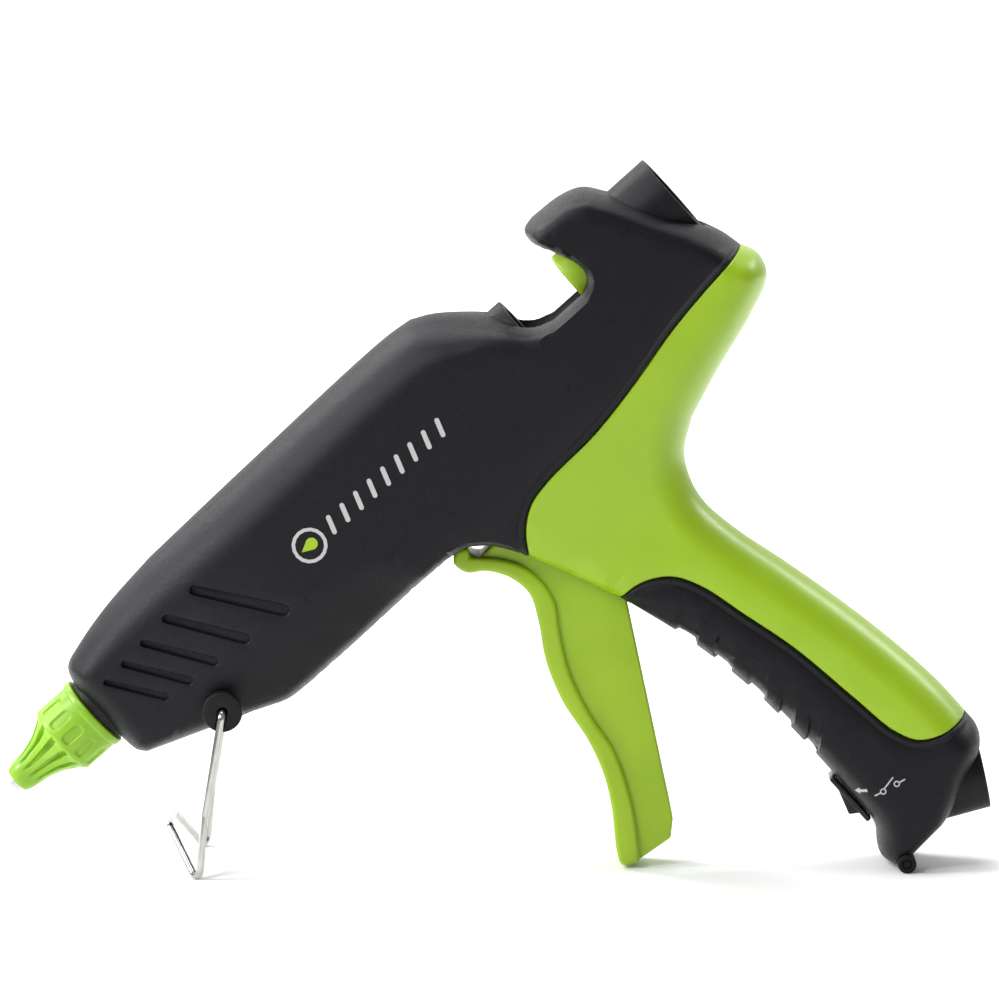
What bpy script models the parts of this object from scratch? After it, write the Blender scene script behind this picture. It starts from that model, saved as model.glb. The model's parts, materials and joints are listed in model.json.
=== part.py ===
"""Full-size hot glue gun, standing on its wire stand.

Everything is modelled in the gun's own frame and hung on the empty `gun`:
  +X  back along the barrel from the nozzle's orifice,
  +Y  towards the gun's right side,
  +Z  up out of the barrel.
The empty then leans the whole gun back, so that the stand's feet and the rear
foot rod touch the ground plane, and the origin is under the middle of the gun.
Outlines are lists of (x, z) points in millimetres; everything else is metres.
"""
from math import atan2, ceil, cos, hypot, pi, radians, sin

import bmesh
import bpy
import numpy as np
from mathutils import Matrix, Vector
from mathutils.geometry import delaunay_2d_cdt

MM = 0.001

# ---- driving sizes ---------------------------------------------------------
LEAN = radians(42)              # barrel above the horizontal when the gun stands
NOZZLE_HEIGHT = 24.4 * MM       # orifice above the ground
STICK_RADIUS = 5.6 * MM         # full-size glue stick, 7/16 inch
STICK_CLEARANCE = 0.5 * MM
GAP = 0.3 * MM                  # between pieces that touch or slide
WALL = 2.4 * MM                 # moulded casing
SEAM = 0.3 * MM                 # between neighbouring casing shells

NOSE_HALF_WIDTH = 17 * MM
BARREL_HALF_WIDTH = 24 * MM
REAR_HALF_WIDTH = 22.5 * MM
NECK_HALF_WIDTH = 16.5 * MM
PALM_HALF_WIDTH = 18 * MM
BASE_HALF_WIDTH = 19 * MM
CREASE_SLOPE = 0.45             # how fast the barrel narrows below its crease

ORIFICE_RADIUS = 1.0 * MM
TIP_RADIUS = 3.0 * MM
NOZZLE_LENGTH = 34 * MM
NOZZLE_RADIUS = 7.2 * MM
BOOT_RADIUS = 11.7 * MM
BOOT_LIP_RADIUS = 12.2 * MM
BOOT_END = 35.5 * MM
COLLAR_RADIUS = 11.0 * MM
CHAMBER_RADIUS = 9.0 * MM
CHAMBER_END = 150 * MM
SPIGOT_LENGTH = 15 * MM
SPIGOT_RADIUS = 8.0 * MM
SLEEVE_RADIUS = 11.0 * MM
SLEEVE_END = 214.3 * MM
HEATER_LENGTH = 46 * MM
HEATER_HALF_WIDTH = 7 * MM
HEATER_THICKNESS = 3.4 * MM

GUIDE_RADIUS = 14.0 * MM
GUIDE_START = 258.5 * MM
GUIDE_END = 276.5 * MM
GUIDE_MOUTH_RADIUS = 12.6 * MM

CARRIAGE_RADIUS = 10.5 * MM
CARRIAGE_FRONT = 235 * MM
CARRIAGE_LENGTH = 21 * MM
JAW_PIN_RADIUS = 1.5 * MM

TRIGGER_PIVOT = Vector((179 * MM, 0, -46.5 * MM))
TRIGGER_SWING = radians(18)
TRIGGER_ARM = 37 * MM           # trigger pivot to the arms' pins
ARM_INNER = 12.6 * MM
ARM_OUTER = 15.6 * MM
ARM_PIN_RADIUS = 2.2 * MM
PLATE_HALF_WIDTH = 11 * MM
WEB_HALF_WIDTH = 8.5 * MM
WEB_POCKET_HALF_WIDTH = 6 * MM
PIVOT_PIN_RADIUS = 2.0 * MM
PIVOT_BOSS_RADIUS = 6.5 * MM
PIVOT_PIN_HALF_LENGTH = 19.2 * MM
LINK_THICKNESS = 2.2 * MM
LINK_HALF_HEIGHT = 3.6 * MM

STAND_PIVOT = Vector((67.9 * MM, 0, -24.5 * MM))
STAND_WIRE_RADIUS = 1.15 * MM
STAND_LEG_Y = 27.6 * MM
STAND_FOOT_X = 27 * MM
STAND_FOOT_Y = 30 * MM
STAND_BEND_DROP = 2.54 * MM     # the foot's bend cuts this much off its corner
STAND_BOSS_RADIUS = 6.2 * MM
STAND_BOSS_FACE = 26 * MM
STAND_BOSS_SEAT = 20.9 * MM
STAND_STEM_RADIUS = 3.5 * MM

FOOT_ROD_RADIUS = 2.9 * MM
FOOT_ROD_X = 192.4 * MM
FOOT_ROD_HALF_LENGTH = 19.4 * MM

SWITCH_CENTRE = Vector((194.2 * MM, 0, -177.2 * MM))
ROCKER_HALF_WIDTH = 4.2 * MM
BEZEL_HALF_WIDTH = 6.2 * MM
BEZEL_HALF_HEIGHT = 9 * MM
BEZEL_FRONT = -3.2 * MM         # from the rocker's axis
BEZEL_BACK = -1.3 * MM
SWITCH_BODY_HALF_WIDTH = 5 * MM
SWITCH_BODY_HALF_HEIGHT = 7.4 * MM
SWITCH_BODY_DEPTH = 8.5 * MM    # behind the rocker's axis
BLADE_END = 13.5 * MM

SOCKET_FACE = Vector((228 * MM, 0, -199.5 * MM))
SOCKET_TILT = radians(30)       # below the barrel's direction
SOCKET_RADIUS = 11.0 * MM
SOCKET_ROOT_RADIUS = 12.3 * MM
SOCKET_LENGTH = 22 * MM
SOCKET_BORE = 8.6 * MM
SOCKET_DEPTH = 17 * MM

SCREW_SHANK_RADIUS = 1.4 * MM
SCREW_HEAD_RADIUS = 2.8 * MM
SCREW_POST_RADIUS = 4.4 * MM
SCREW_SEAT_Y = 8 * MM
LEAD_RADIUS = 1.1 * MM

# ---- places that follow from the sizes -------------------------------------
STICK_BORE = STICK_RADIUS + STICK_CLEARANCE


def height_of_rest(x, above_ground):
    """Gun-frame z of a point at x that stands `above_ground` over the ground plane."""
    return (above_ground - NOZZLE_HEIGHT - x * sin(LEAN)) / cos(LEAN)


STAND_FOOT_Z = height_of_rest(STAND_FOOT_X, STAND_WIRE_RADIUS - STAND_BEND_DROP)
FOOT_ROD_Z = height_of_rest(FOOT_ROD_X, FOOT_ROD_RADIUS)
ARM_PIN = TRIGGER_PIVOT + TRIGGER_ARM * Vector((sin(TRIGGER_SWING / 2), 0, cos(TRIGGER_SWING / 2)))
CARRIAGE_TRAVEL = 2 * TRIGGER_ARM * sin(TRIGGER_SWING / 2)
LINK_Y = ARM_OUTER + GAP
LINK_STUD = Vector((CARRIAGE_FRONT + 11 * MM, 0, ARM_PIN.z))
SOCKET_AXIS = Vector((cos(SOCKET_TILT), 0, -sin(SOCKET_TILT)))

SCREWS = [(62, 14.8), (92, -28.5), (160, 17.2), (206, -27), (248, 16.6), (206.5, -71), (222, -130),
          (199, -193.2)]

# ---- the casing's outline in stretches: (edge radius in mm, points) --------
# It runs from the nose up over the top, down the back of the grip, along the
# base, up the front of the grip and forward under the barrel.
NOSE = (8, [(36.3, -12), (36.3, 10)])
NOSE_TOP = (8, [(36.3, 10), (38.5, 16), (45, 18.6), (60, 22), (80, 24.3)])
BARREL_TOP = (18, [(80, 24.3), (120, 25.4), (180, 26.2), (190, 25.2)])
BAY_SLOPE = (16, [(190, 25.2), (197, 21.5), (210, 10), (217, 0), (224, -3)])
BAY_FLOOR = (2.6, [(224, -3), (235, -3)])
HEAD_FRONT = (2.6, [(235, -3), (239.3, -0.5), (240, 4), (236.8, 12), (234.2, 18.5), (235, 22.3), (239, 23.5)])
HEAD_TOP = (5, [(239, 23.5), (250, 22.7), (257, 20), (262, 13.5)])
HEAD_BACK = (5, [(262, 13.5), (270, 0), (276, -10), (280, -19), (281.5, -25.5)])
BEAK = (9, [(281.5, -25.5), (283.8, -31), (281.5, -38), (270, -43.6), (250, -50), (235, -55.5)])
PALM = (12, [(235, -55.5), (226, -62), (221.5, -70), (220, -78), (221.5, -90), (226.5, -110), (231, -130),
             (234.5, -150), (236.5, -168), (236.6, -181)])
HEEL = (11, [(236.6, -181), (236.2, -187), (232.5, -193), (222, -197.4), (213, -201.2), (208, -202.5)])
SOLE = (5, [(208, -202.5), (192, -203.5)])
TOE = (5, [(192, -203.5), (188.6, -201.9), (187.2, -197.4), (188.4, -194.2), (191.8, -189.5), (192.8, -186)])
GRIP_FRONT = (9, [(192.8, -186), (193.2, -166), (193, -150), (191.8, -130), (188.5, -110), (183, -90),
                  (180.3, -81.3)])
THROAT = (4.5, [(180.3, -81.3), (175, -69), (168.8, -54)])
THROAT_TOP = (3.5, [(168.8, -54), (166, -49), (162, -43.2), (157, -39)])
BELLY = (4, [(157, -39), (150.5, -37.7), (110, -37.9), (90, -37.8), (83, -37.2), (76, -34.4)])
CHIN = (4, [(76, -34.4), (39.5, -20.2)])
CHIN_TIP = (6, [(39.5, -20.2), (37.2, -17.5), (36.3, -12)])
STRETCHES = [NOSE, NOSE_TOP, BARREL_TOP, BAY_SLOPE, BAY_FLOOR, HEAD_FRONT, HEAD_TOP, HEAD_BACK, BEAK, PALM,
             HEEL, SOLE, TOE, GRIP_FRONT, THROAT, THROAT_TOP, BELLY, CHIN, CHIN_TIP]

UPPER_SEAM = [(281.5, -25.5), (270, -26.4), (250, -29.2), (230, -33.8), (210, -37.3), (190, -38.5),
              (181, -40.6),
              (174, -46), (168.8, -54)]
LOWER_SEAM = [(180.3, -81.3), (189.2, -81.9), (197.7, -86.6), (202.7, -95.1), (206.7, -110.1), (211.2, -128.1),
              (214.7, -153.1), (216.9, -168.1), (220.7, -175.6), (227.5, -179.3), (236.6, -181)]
CREASE = [(30, -19.5), (60, -19.7), (120, -20), (128, -21.4), (135, -26), (144.5, -38), (150, -45)]
VENTS = [((46.5, 5.5), (57, -9.8), 0.9, 1.1), ((54.5, 6), (66, -10.8), 1.0, 1.3),
         ((63.5, 7), (76, -11.5), 1.1, 1.4),
         ((74, 8), (88, -12.5), 1.3, 1.6), ((86.5, 9), (103, -13.8), 1.5, 1.8)]

# ---- trigger outlines ------------------------------------------------------
FINGER_FRONT = [(157, -38.8), (153.6, -37), (150.2, -39.3), (151.2, -44.2), (156, -47.8), (160.2, -54.5),
                (161.2, -62),
                (157.5, -70.3), (151, -81), (146.3, -94), (144.1, -108), (140.5, -119.5), (135, -129.5),
                (127.3, -140.4), (125.8, -144.6), (130.5, -147.8)]
FINGER_BACK = [(130.5, -147.8), (141, -132), (148, -116), (150, -103), (154, -89), (160, -77.5),
               (165.6, -68.6),
               (166.7, -61), (165.2, -53.3), (161.5, -47.5), (155.2, -41)]
WEB_BACK = [(142.5, -148.6), (147, -144.6)]
WEB_TOP = (189.5, -70.8)

# ---- materials: base colour, roughness, metallic ---------------------------
MATERIALS = {
    "black_housing": ((0.016, 0.016, 0.018), 0.52, 0.0),
    "green_housing": ((0.27, 0.48, 0.025), 0.34, 0.0),
    "green_moving": ((0.27, 0.48, 0.025), 0.36, 0.0),
    "green_silicone": ((0.24, 0.50, 0.02), 0.45, 0.0),
    "black_silicone": ((0.02, 0.02, 0.02), 0.6, 0.0),
    "black_switch": ((0.01, 0.01, 0.01), 0.3, 0.0),
    "cast_aluminium": ((0.6, 0.6, 0.62), 0.45, 1.0),
    "nozzle_brass": ((0.62, 0.5, 0.3), 0.35, 1.0),
    "chromed_wire": ((0.75, 0.75, 0.76), 0.15, 1.0),
    "zinc_steel": ((0.55, 0.55, 0.57), 0.35, 1.0),
    "ceramic": ((0.8, 0.78, 0.72), 0.7, 0.0),
    "rubber": ((0.012, 0.012, 0.012), 0.8, 0.0),
    "lead_sleeve": ((0.7, 0.68, 0.62), 0.7, 0.0),
}


# ---- scene helpers ---------------------------------------------------------
def clear_scene():
    for obj in list(bpy.data.objects):
        bpy.data.objects.remove(obj)


def new_collection(name):
    collection = bpy.data.collections.new(name)
    bpy.context.scene.collection.children.link(collection)
    return collection


def new_material(name, slot):
    """One Principled material per piece, in its slot's finish."""
    colour, roughness, metallic = MATERIALS[slot]
    material = bpy.data.materials.new(name)
    material.use_nodes = True
    shader = material.node_tree.nodes["Principled BSDF"]
    shader.inputs["Base Color"].default_value = (*colour, 1)
    shader.inputs["Roughness"].default_value = roughness
    shader.inputs["Metallic"].default_value = metallic
    material.diffuse_color = (*colour, 1)
    return material


def add_mesh(name, mesh, collection, parent):
    obj = bpy.data.objects.new(name, mesh)
    collection.objects.link(obj)
    obj.parent = parent
    return obj


def mesh_from(bm, name, smooth_angle=35):
    mesh = bpy.data.meshes.new(name)
    bm.to_mesh(mesh)
    bm.free()
    mesh.shade_smooth()
    mesh.set_sharp_from_angle(angle=radians(smooth_angle))
    return mesh


clear_scene()
PARTS = new_collection("hot_glue_gun")
CUTTERS = new_collection("cutters")
GUN = bpy.data.objects.new("gun", None)
PARTS.objects.link(GUN)
GUN.rotation_euler = (0, -LEAN, 0)
GUN.location = (0, 0, NOZZLE_HEIGHT)


def pivot_empty(name, place):
    """Empty on a joint's axis; what hangs on it keeps its gun-frame coordinates."""
    empty = bpy.data.objects.new(name, None)
    PARTS.objects.link(empty)
    empty.parent = GUN
    empty.location = place
    return empty


def hang(obj, empty):
    obj.parent = empty
    obj.matrix_parent_inverse = Matrix.Translation(empty.location).inverted()


def part(name, mesh, slot):
    obj = add_mesh(name, mesh, PARTS, GUN)
    obj.data.materials.append(new_material(name, slot))
    return obj


def cutter(name, mesh):
    obj = add_mesh(name, mesh, CUTTERS, GUN)
    obj.hide_render = True
    obj.display_type = "WIRE"
    return obj


def boolean(target, tools, operation):
    """One exact Boolean of the target with a group of tools."""
    group = bpy.data.collections.new(f"{target.name}_{operation.lower()}")
    CUTTERS.children.link(group)
    for tool in tools:
        group.objects.link(tool)
    modifier = target.modifiers.new(group.name, "BOOLEAN")
    modifier.operation = operation
    modifier.solver = "EXACT"
    modifier.operand_type = "COLLECTION"
    modifier.collection = group


def merge_flats(target):
    """Merge the coplanar triangles that the Booleans leave."""
    modifier = target.modifiers.new("Flats", "DECIMATE")
    modifier.decimate_type = "DISSOLVE"
    modifier.angle_limit = radians(1)


def cut(target, *tools):
    boolean(target, tools, "DIFFERENCE")


def join(target, *tools):
    boolean(target, tools, "UNION")


# ---- shapes ----------------------------------------------------------------
def box_mesh(name, low, high):
    bm = bmesh.new()
    low, high = Vector(low), Vector(high)
    size = Matrix.Diagonal((*(high - low), 1))
    bmesh.ops.create_cube(bm, size=1, matrix=Matrix.Translation((low + high) / 2) @ size)
    return mesh_from(bm, name)


def rod_mesh(name, start, end, radius, end_radius=None, sides=18):
    """Cylinder, or cone frustum, between two points."""
    start, end = Vector(start), Vector(end)
    way = end - start
    turn = way.to_track_quat("Z", "Y").to_matrix().to_4x4()
    place = Matrix.Translation((start + end) / 2) @ turn
    bm = bmesh.new()
    bmesh.ops.create_cone(bm, cap_ends=True, segments=sides, radius1=radius,
                          radius2=radius if end_radius is None else end_radius, depth=way.length,
                          matrix=place)
    return mesh_from(bm, name)


def across(x, z, low_y, high_y):
    """End points of a rod that lies across the gun."""
    return (x, low_y, z), (x, high_y, z)


def smooth(points, step):
    """Points along a centripetal Catmull-Rom curve through the given points."""
    if len(points) == 2:
        return list(points)
    ends = [tuple(2 * b - a for a, b in zip(points[1], points[0]))]
    ends.append(tuple(2 * b - a for a, b in zip(points[-2], points[-1])))
    chain = [Vector(p) for p in [ends[0], *points, ends[1]]]
    path = []
    for p0, p1, p2, p3 in zip(chain, chain[1:], chain[2:], chain[3:]):
        t1 = (p1 - p0).length ** 0.5
        t2 = t1 + (p2 - p1).length ** 0.5
        t3 = t2 + (p3 - p2).length ** 0.5
        count = max(2, ceil((p2 - p1).length / step))
        for i in range(count):
            t = t1 + (t2 - t1) * i / count
            a1 = p0.lerp(p1, t / t1)
            a2 = p1.lerp(p2, (t - t1) / (t2 - t1))
            a3 = p2.lerp(p3, (t - t2) / (t3 - t2))
            b1 = a1.lerp(a2, t / t2)
            b2 = a2.lerp(a3, (t - t1) / (t3 - t1))
            path.append(tuple(b1.lerp(b2, (t - t1) / (t2 - t1))))
    return path + [tuple(points[-1])]


def in_metres(points):
    return [tuple(value * MM for value in point) for point in points]


def loop(*paths):
    """Closed outline from paths laid end to end, without doubled corner points."""
    outline = []
    for path in paths:
        for point in path:
            if not outline or hypot(point[0] - outline[-1][0], point[1] - outline[-1][1]) > 0.05 * MM:
                outline.append(tuple(point))
    if hypot(outline[0][0] - outline[-1][0], outline[0][1] - outline[-1][1]) <= 0.05 * MM:
        outline.pop()
    return outline


def slab_mesh(name, outline, low_y, high_y):
    """Flat outline, extruded across the gun."""
    curve = bpy.data.curves.new(name, "CURVE")
    curve.dimensions = "2D"
    curve.fill_mode = "BOTH"
    curve.extrude = (high_y - low_y) / 2
    spline = curve.splines.new("POLY")
    spline.points.add(len(outline) - 1)
    for point, (x, z) in zip(spline.points, outline):
        point.co = (x, z, 0, 1)
    spline.use_cyclic_u = True
    middle = Matrix.Translation((0, (low_y + high_y) / 2, 0))
    return curve_to_mesh(curve, middle @ Matrix.Rotation(pi / 2, 4, "X"))


def curve_to_mesh(curve, placing=Matrix.Identity(4)):
    """Mesh of a curve, with its caps welded on."""
    obj = bpy.data.objects.new(curve.name, curve)
    bpy.context.scene.collection.objects.link(obj)
    bpy.context.view_layer.update()
    bm = bmesh.new()
    bm.from_mesh(bpy.data.meshes.new_from_object(obj.evaluated_get(bpy.context.evaluated_depsgraph_get())))
    bpy.data.objects.remove(obj)
    bmesh.ops.remove_doubles(bm, verts=bm.verts, dist=0.01 * MM)
    bmesh.ops.recalc_face_normals(bm, faces=bm.faces)
    bm.transform(placing)
    return mesh_from(bm, curve.name)


def capsule(start, end, start_radius, end_radius, arc_steps=5):
    """Outline of a slot with round ends."""
    (x0, z0), (x1, z1) = start, end
    along = atan2(z1 - z0, x1 - x0)
    outline = []
    for (x, z), radius, turn in (((x1, z1), end_radius, -pi / 2), ((x0, z0), start_radius, pi / 2)):
        for i in range(arc_steps + 1):
            angle = along + turn + pi * i / arc_steps
            outline.append((x + radius * cos(angle), z + radius * sin(angle)))
    return outline


def tube_path(name, points, radius, resolution=2):
    """Wire of round section along a list of 3-D points."""
    curve = bpy.data.curves.new(name, "CURVE")
    curve.dimensions = "3D"
    curve.bevel_depth = radius
    curve.bevel_resolution = resolution
    curve.use_fill_caps = True
    spline = curve.splines.new("POLY")
    spline.points.add(len(points) - 1)
    for point, place in zip(spline.points, points):
        point.co = (*place, 1)
    return curve_to_mesh(curve)


def turned(name, profile, slot, start, towards, sides=20):
    """Turned piece: a profile of (along, radius) in millimetres, outer side from the far end back."""
    mesh = bpy.data.meshes.new(name)
    closed = min(radius for _, radius in profile) > 0
    verts = [(radius * MM, 0, along * MM) for along, radius in profile]
    edges = [(i, i + 1) for i in range(len(verts) - 1)]
    if closed:
        edges.append((len(verts) - 1, 0))
    mesh.from_pydata(verts, edges, [])
    obj = part(name, mesh, slot)
    obj.location = start
    obj.rotation_mode = "QUATERNION"
    obj.rotation_quaternion = Vector(towards).to_track_quat("Z", "Y")
    screw = obj.modifiers.new("Turn", "SCREW")
    screw.axis = "Z"
    screw.steps = sides
    screw.render_steps = sides
    screw.use_merge_vertices = True
    screw.merge_threshold = 0.00001
    screw.use_smooth_shade = True
    return obj


def to_mm(value):
    return value / MM


# ---- casing ----------------------------------------------------------------
def silhouette(step):
    """The casing's whole outline, each point with its edge radius."""
    outline, radii = [], []
    for index, (radius, points) in enumerate(STRETCHES):
        next_radius = STRETCHES[(index + 1) % len(STRETCHES)][0]
        path = resampled(smooth(in_metres(points), step), step)
        for i, point in enumerate(path[:-1]):
            outline.append(point)
            radii.append((radius + (next_radius - radius) * i / (len(path) - 1)) * MM)
    return np.array(outline), np.array(radii)


def resampled(path, step):
    """The path with its long straight runs divided."""
    result = [path[0]]
    for start, end in zip(path, path[1:]):
        count = max(1, ceil(hypot(end[0] - start[0], end[1] - start[1]) / step))
        for i in range(1, count + 1):
            result.append(tuple(a + (b - a) * i / count for a, b in zip(start, end)))
    return result


OUTLINE_STEP = 11 * MM
OUTER_RIM_SHARE = 0.002         # the parting edge is nearly sharp outside
INNER_RIM_SHARE = 0.12          # and the cavity starts with an upright wall
OUTLINE, EDGE_RADII = silhouette(OUTLINE_STEP)


def edge_distance(points, shrink=0.0):
    """Distance to the outline, and its share of the local edge radius."""
    start, end = OUTLINE, np.roll(OUTLINE, -1, axis=0)
    start_radius, end_radius = EDGE_RADII, np.roll(EDGE_RADII, -1)
    along = end - start
    offset = points[:, None, :] - start[None]
    share = np.clip((offset * along).sum(2) / (along ** 2).sum(1), 0, 1)
    distance = np.linalg.norm(offset - share[..., None] * along, axis=2)
    radius = np.maximum(start_radius + share * (end_radius - start_radius) - shrink, 0.4 * MM)
    return distance.min(axis=1), (np.maximum(distance - shrink, 0) / radius).min(axis=1)


def ease(value, low, high):
    """0 at low, 1 at high, smooth between."""
    t = np.clip((value - low) / (high - low), 0, 1)
    return t * t * (3 - 2 * t)


def side_half_width(points):
    """Half the casing's width at (x, z), before its edges are rounded."""
    x, z = points[:, 0], points[:, 1]
    barrel = NOSE_HALF_WIDTH + (BARREL_HALF_WIDTH - NOSE_HALF_WIDTH) * ease(x, 36 * MM, 112 * MM)
    barrel = barrel + (REAR_HALF_WIDTH - BARREL_HALF_WIDTH) * ease(x, 215 * MM, 285 * MM)
    grip = NECK_HALF_WIDTH + (PALM_HALF_WIDTH - NECK_HALF_WIDTH) * ease(-z, 75 * MM, 125 * MM)
    grip = grip + (BASE_HALF_WIDTH - PALM_HALF_WIDTH) * ease(-z, 150 * MM, 195 * MM)
    crease_z = np.interp(x, *np.array(CREASE).T * MM)
    barrel = barrel - CREASE_SLOPE * np.clip(crease_z - z, 0, None) * (x < CREASE[-1][0] * MM)
    return barrel + (grip - barrel) * ease(-z, 26 * MM, 72 * MM)


def side_height(points, inset=0.0):
    """Distance of the casing's side from its mid-plane, `inset` under the outer surface."""
    least = INNER_RIM_SHARE if inset else OUTER_RIM_SHARE
    share = np.clip(edge_distance(points, inset)[1], least, 1)
    return (side_half_width(points) - inset) * np.sqrt(1 - (1 - share) ** 2)


def inside(points, outline):
    """Which points lie inside a closed outline."""
    x, z = points[:, 0, None], points[:, 1, None]
    (x0, z0), (x1, z1) = np.array(outline).T, np.roll(outline, -1, axis=0).T
    with np.errstate(divide="ignore", invalid="ignore"):
        crossing = (z0 > z) != (z1 > z)
        hit = x < (x1 - x0) * (z - z0) / (z1 - z0) + x0
    return (crossing & hit).sum(axis=1) % 2 == 1


RING_SHARES = (0.15, 0.5, 1.0)     # of the local edge radius
LEAST_RING_RADIUS = 3.2 * MM
LATTICE = 22 * MM
SPACING = 1.4 * MM


def inner_points(outline, inset):
    """Points that carry the side's shape: rings along the rounded edge, then a lattice."""
    ahead, behind = np.roll(OUTLINE, -1, axis=0), np.roll(OUTLINE, 1, axis=0)
    tangent = ahead - behind
    normal = np.stack([tangent[:, 1], -tangent[:, 0]], axis=1) / np.linalg.norm(tangent, axis=1)[:, None]
    reach = np.maximum(EDGE_RADII - inset, LEAST_RING_RADIUS)
    rings = [OUTLINE + normal * (inset + share * reach)[:, None] for share in RING_SHARES]
    low, high = OUTLINE.min(axis=0), OUTLINE.max(axis=0)
    grid = np.stack(np.meshgrid(np.arange(low[0], high[0], LATTICE), np.arange(low[1], high[1], LATTICE)),
                    axis=2)
    candidates = np.concatenate([*rings, grid.reshape(-1, 2)])
    ring_shares = [np.full(len(OUTLINE), share) for share in RING_SHARES]
    shares = np.minimum(np.concatenate(ring_shares + [np.ones(grid[..., 0].size)]), 0.98)
    keep = inside(candidates, outline) & (edge_distance(candidates, inset)[1] > 0.93 * shares)
    chosen = [np.array(point) for point in outline]
    result = []
    for point in candidates[keep]:
        if np.min(np.linalg.norm(np.array(chosen) - point, axis=1)) > SPACING:
            chosen.append(point)
            result.append(point)
    return result


def side_mesh(name, outline, base_y, side, inset=0.0):
    """Closed solid over an outline: flat at base_y, following the casing's side on the other face."""
    inner = inner_points(outline, inset)
    flat = [Vector(point) for point in [*outline, *inner]]
    count = len(outline)
    rim = [(i, (i + 1) % count) for i in range(count)]
    verts, _, faces, *_ = delaunay_2d_cdt(flat, rim, [], 1, 1e-7)
    places = np.array([tuple(v) for v in verts])
    heights = side_height(places, inset)
    bm = bmesh.new()
    top = [bm.verts.new((x, side * h, z)) for (x, z), h in zip(places, heights)]
    skin = [bm.faces.new([top[i] for i in face]) for face in faces]
    walls = bmesh.ops.extrude_face_region(bm, geom=skin)
    for vert in (item for item in walls["geom"] if isinstance(item, bmesh.types.BMVert)):
        vert.co.y = base_y
    bmesh.ops.recalc_face_normals(bm, faces=bm.faces)
    flat_edges = [e for e in bm.edges if all(abs(v.co.y - base_y) < 1e-7 for v in e.verts)]
    bmesh.ops.dissolve_limit(bm, angle_limit=radians(1), verts=[], edges=flat_edges)
    bmesh.ops.triangulate(bm, faces=bm.faces)
    return mesh_from(bm, name)


def shifted(path, distance):
    """An open path moved sideways, to its left."""
    points = np.array(path)
    tangent = np.gradient(points, axis=0)
    normal = np.stack([-tangent[:, 1], tangent[:, 0]], axis=1) / np.linalg.norm(tangent, axis=1)[:, None]
    return [tuple(point) for point in points + distance * normal]


def stretch_paths(*stretches):
    return [resampled(smooth(in_metres(points), OUTLINE_STEP), OUTLINE_STEP) for _, points in stretches]


def between_seams(*stretches):
    """A run of the silhouette, without the corner points at its two ends that the seams replace."""
    return loop(*stretch_paths(*stretches))[1:-1]


def region_outlines():
    """Outlines of the three shells of one side, SEAM apart."""
    upper = resampled(smooth(in_metres(UPPER_SEAM), OUTLINE_STEP), OUTLINE_STEP)
    lower = resampled(smooth(in_metres(LOWER_SEAM), OUTLINE_STEP), OUTLINE_STEP)
    barrel = loop(between_seams(THROAT_TOP, BELLY, CHIN, CHIN_TIP, NOSE, NOSE_TOP, BARREL_TOP, BAY_SLOPE,
                                BAY_FLOOR, HEAD_FRONT, HEAD_TOP, HEAD_BACK), shifted(upper, -SEAM / 2))
    grip = loop(between_seams(BEAK, PALM), shifted(lower[::-1], -SEAM / 2), between_seams(THROAT),
                shifted(upper[::-1], -SEAM / 2))
    handle = loop(between_seams(HEEL, SOLE, TOE, GRIP_FRONT), shifted(lower, -SEAM / 2))
    return {"barrel": barrel, "grip": grip, "handle": handle}


def hollow_outline():
    """The outline moved in by the wall, without the loops that tight corners leave."""
    tangent = np.roll(OUTLINE, -1, axis=0) - np.roll(OUTLINE, 1, axis=0)
    normal = np.stack([tangent[:, 1], -tangent[:, 0]], axis=1) / np.linalg.norm(tangent, axis=1)[:, None]
    moved = OUTLINE + WALL * normal
    kept = moved[edge_distance(moved)[0] > WALL - 0.25 * MM]
    return [tuple(point) for point in kept]


def hollow(side):
    """What is taken out of one side: the cavity, less the ribs, posts and bosses that stay."""
    tool = cutter(f"hollow_{side}", side_mesh("hollow", hollow_outline(), -side * 3 * MM, side, WALL))
    kept = []

    def keep(name, mesh):
        kept.append(cutter(f"{name}_{side}", mesh))

    deep = 40 * MM
    for x, low_z in ((56, -15), (196, -16), (260, -17.5)):
        low, high = ((x - 0.9) * MM, -deep, low_z * MM), ((x + 0.9) * MM, deep, deep)
        keep(f"rib_{x}", box_mesh("rib", low, high))
    keep("trough", box_mesh("trough", (210 * MM, -15.2 * MM, -13.6 * MM), (228 * MM, 15.2 * MM, 5 * MM)))
    for index, (x, z) in enumerate(SCREWS, start=1):
        ends = across(x * MM, z * MM, -deep, deep)
        keep(f"post_{index}", rod_mesh("post", *ends, SCREW_POST_RADIUS, sides=8))
    ends = across(TRIGGER_PIVOT.x, TRIGGER_PIVOT.z, side * (ARM_OUTER + 2 * GAP), side * deep)
    keep("pin_boss", rod_mesh("pin_boss", *ends, PIVOT_PIN_RADIUS + 3 * MM, sides=12))
    ends = across(FOOT_ROD_X, FOOT_ROD_Z, -deep, deep)
    keep("foot_boss", rod_mesh("foot_boss", *ends, FOOT_ROD_RADIUS + 2.4 * MM, sides=12))
    cut(tool, *kept)
    return tool


def bore_tool(name, start, end, radius, sides=24):
    return cutter(name, rod_mesh(name, start, end, radius, sides=sides))


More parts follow.
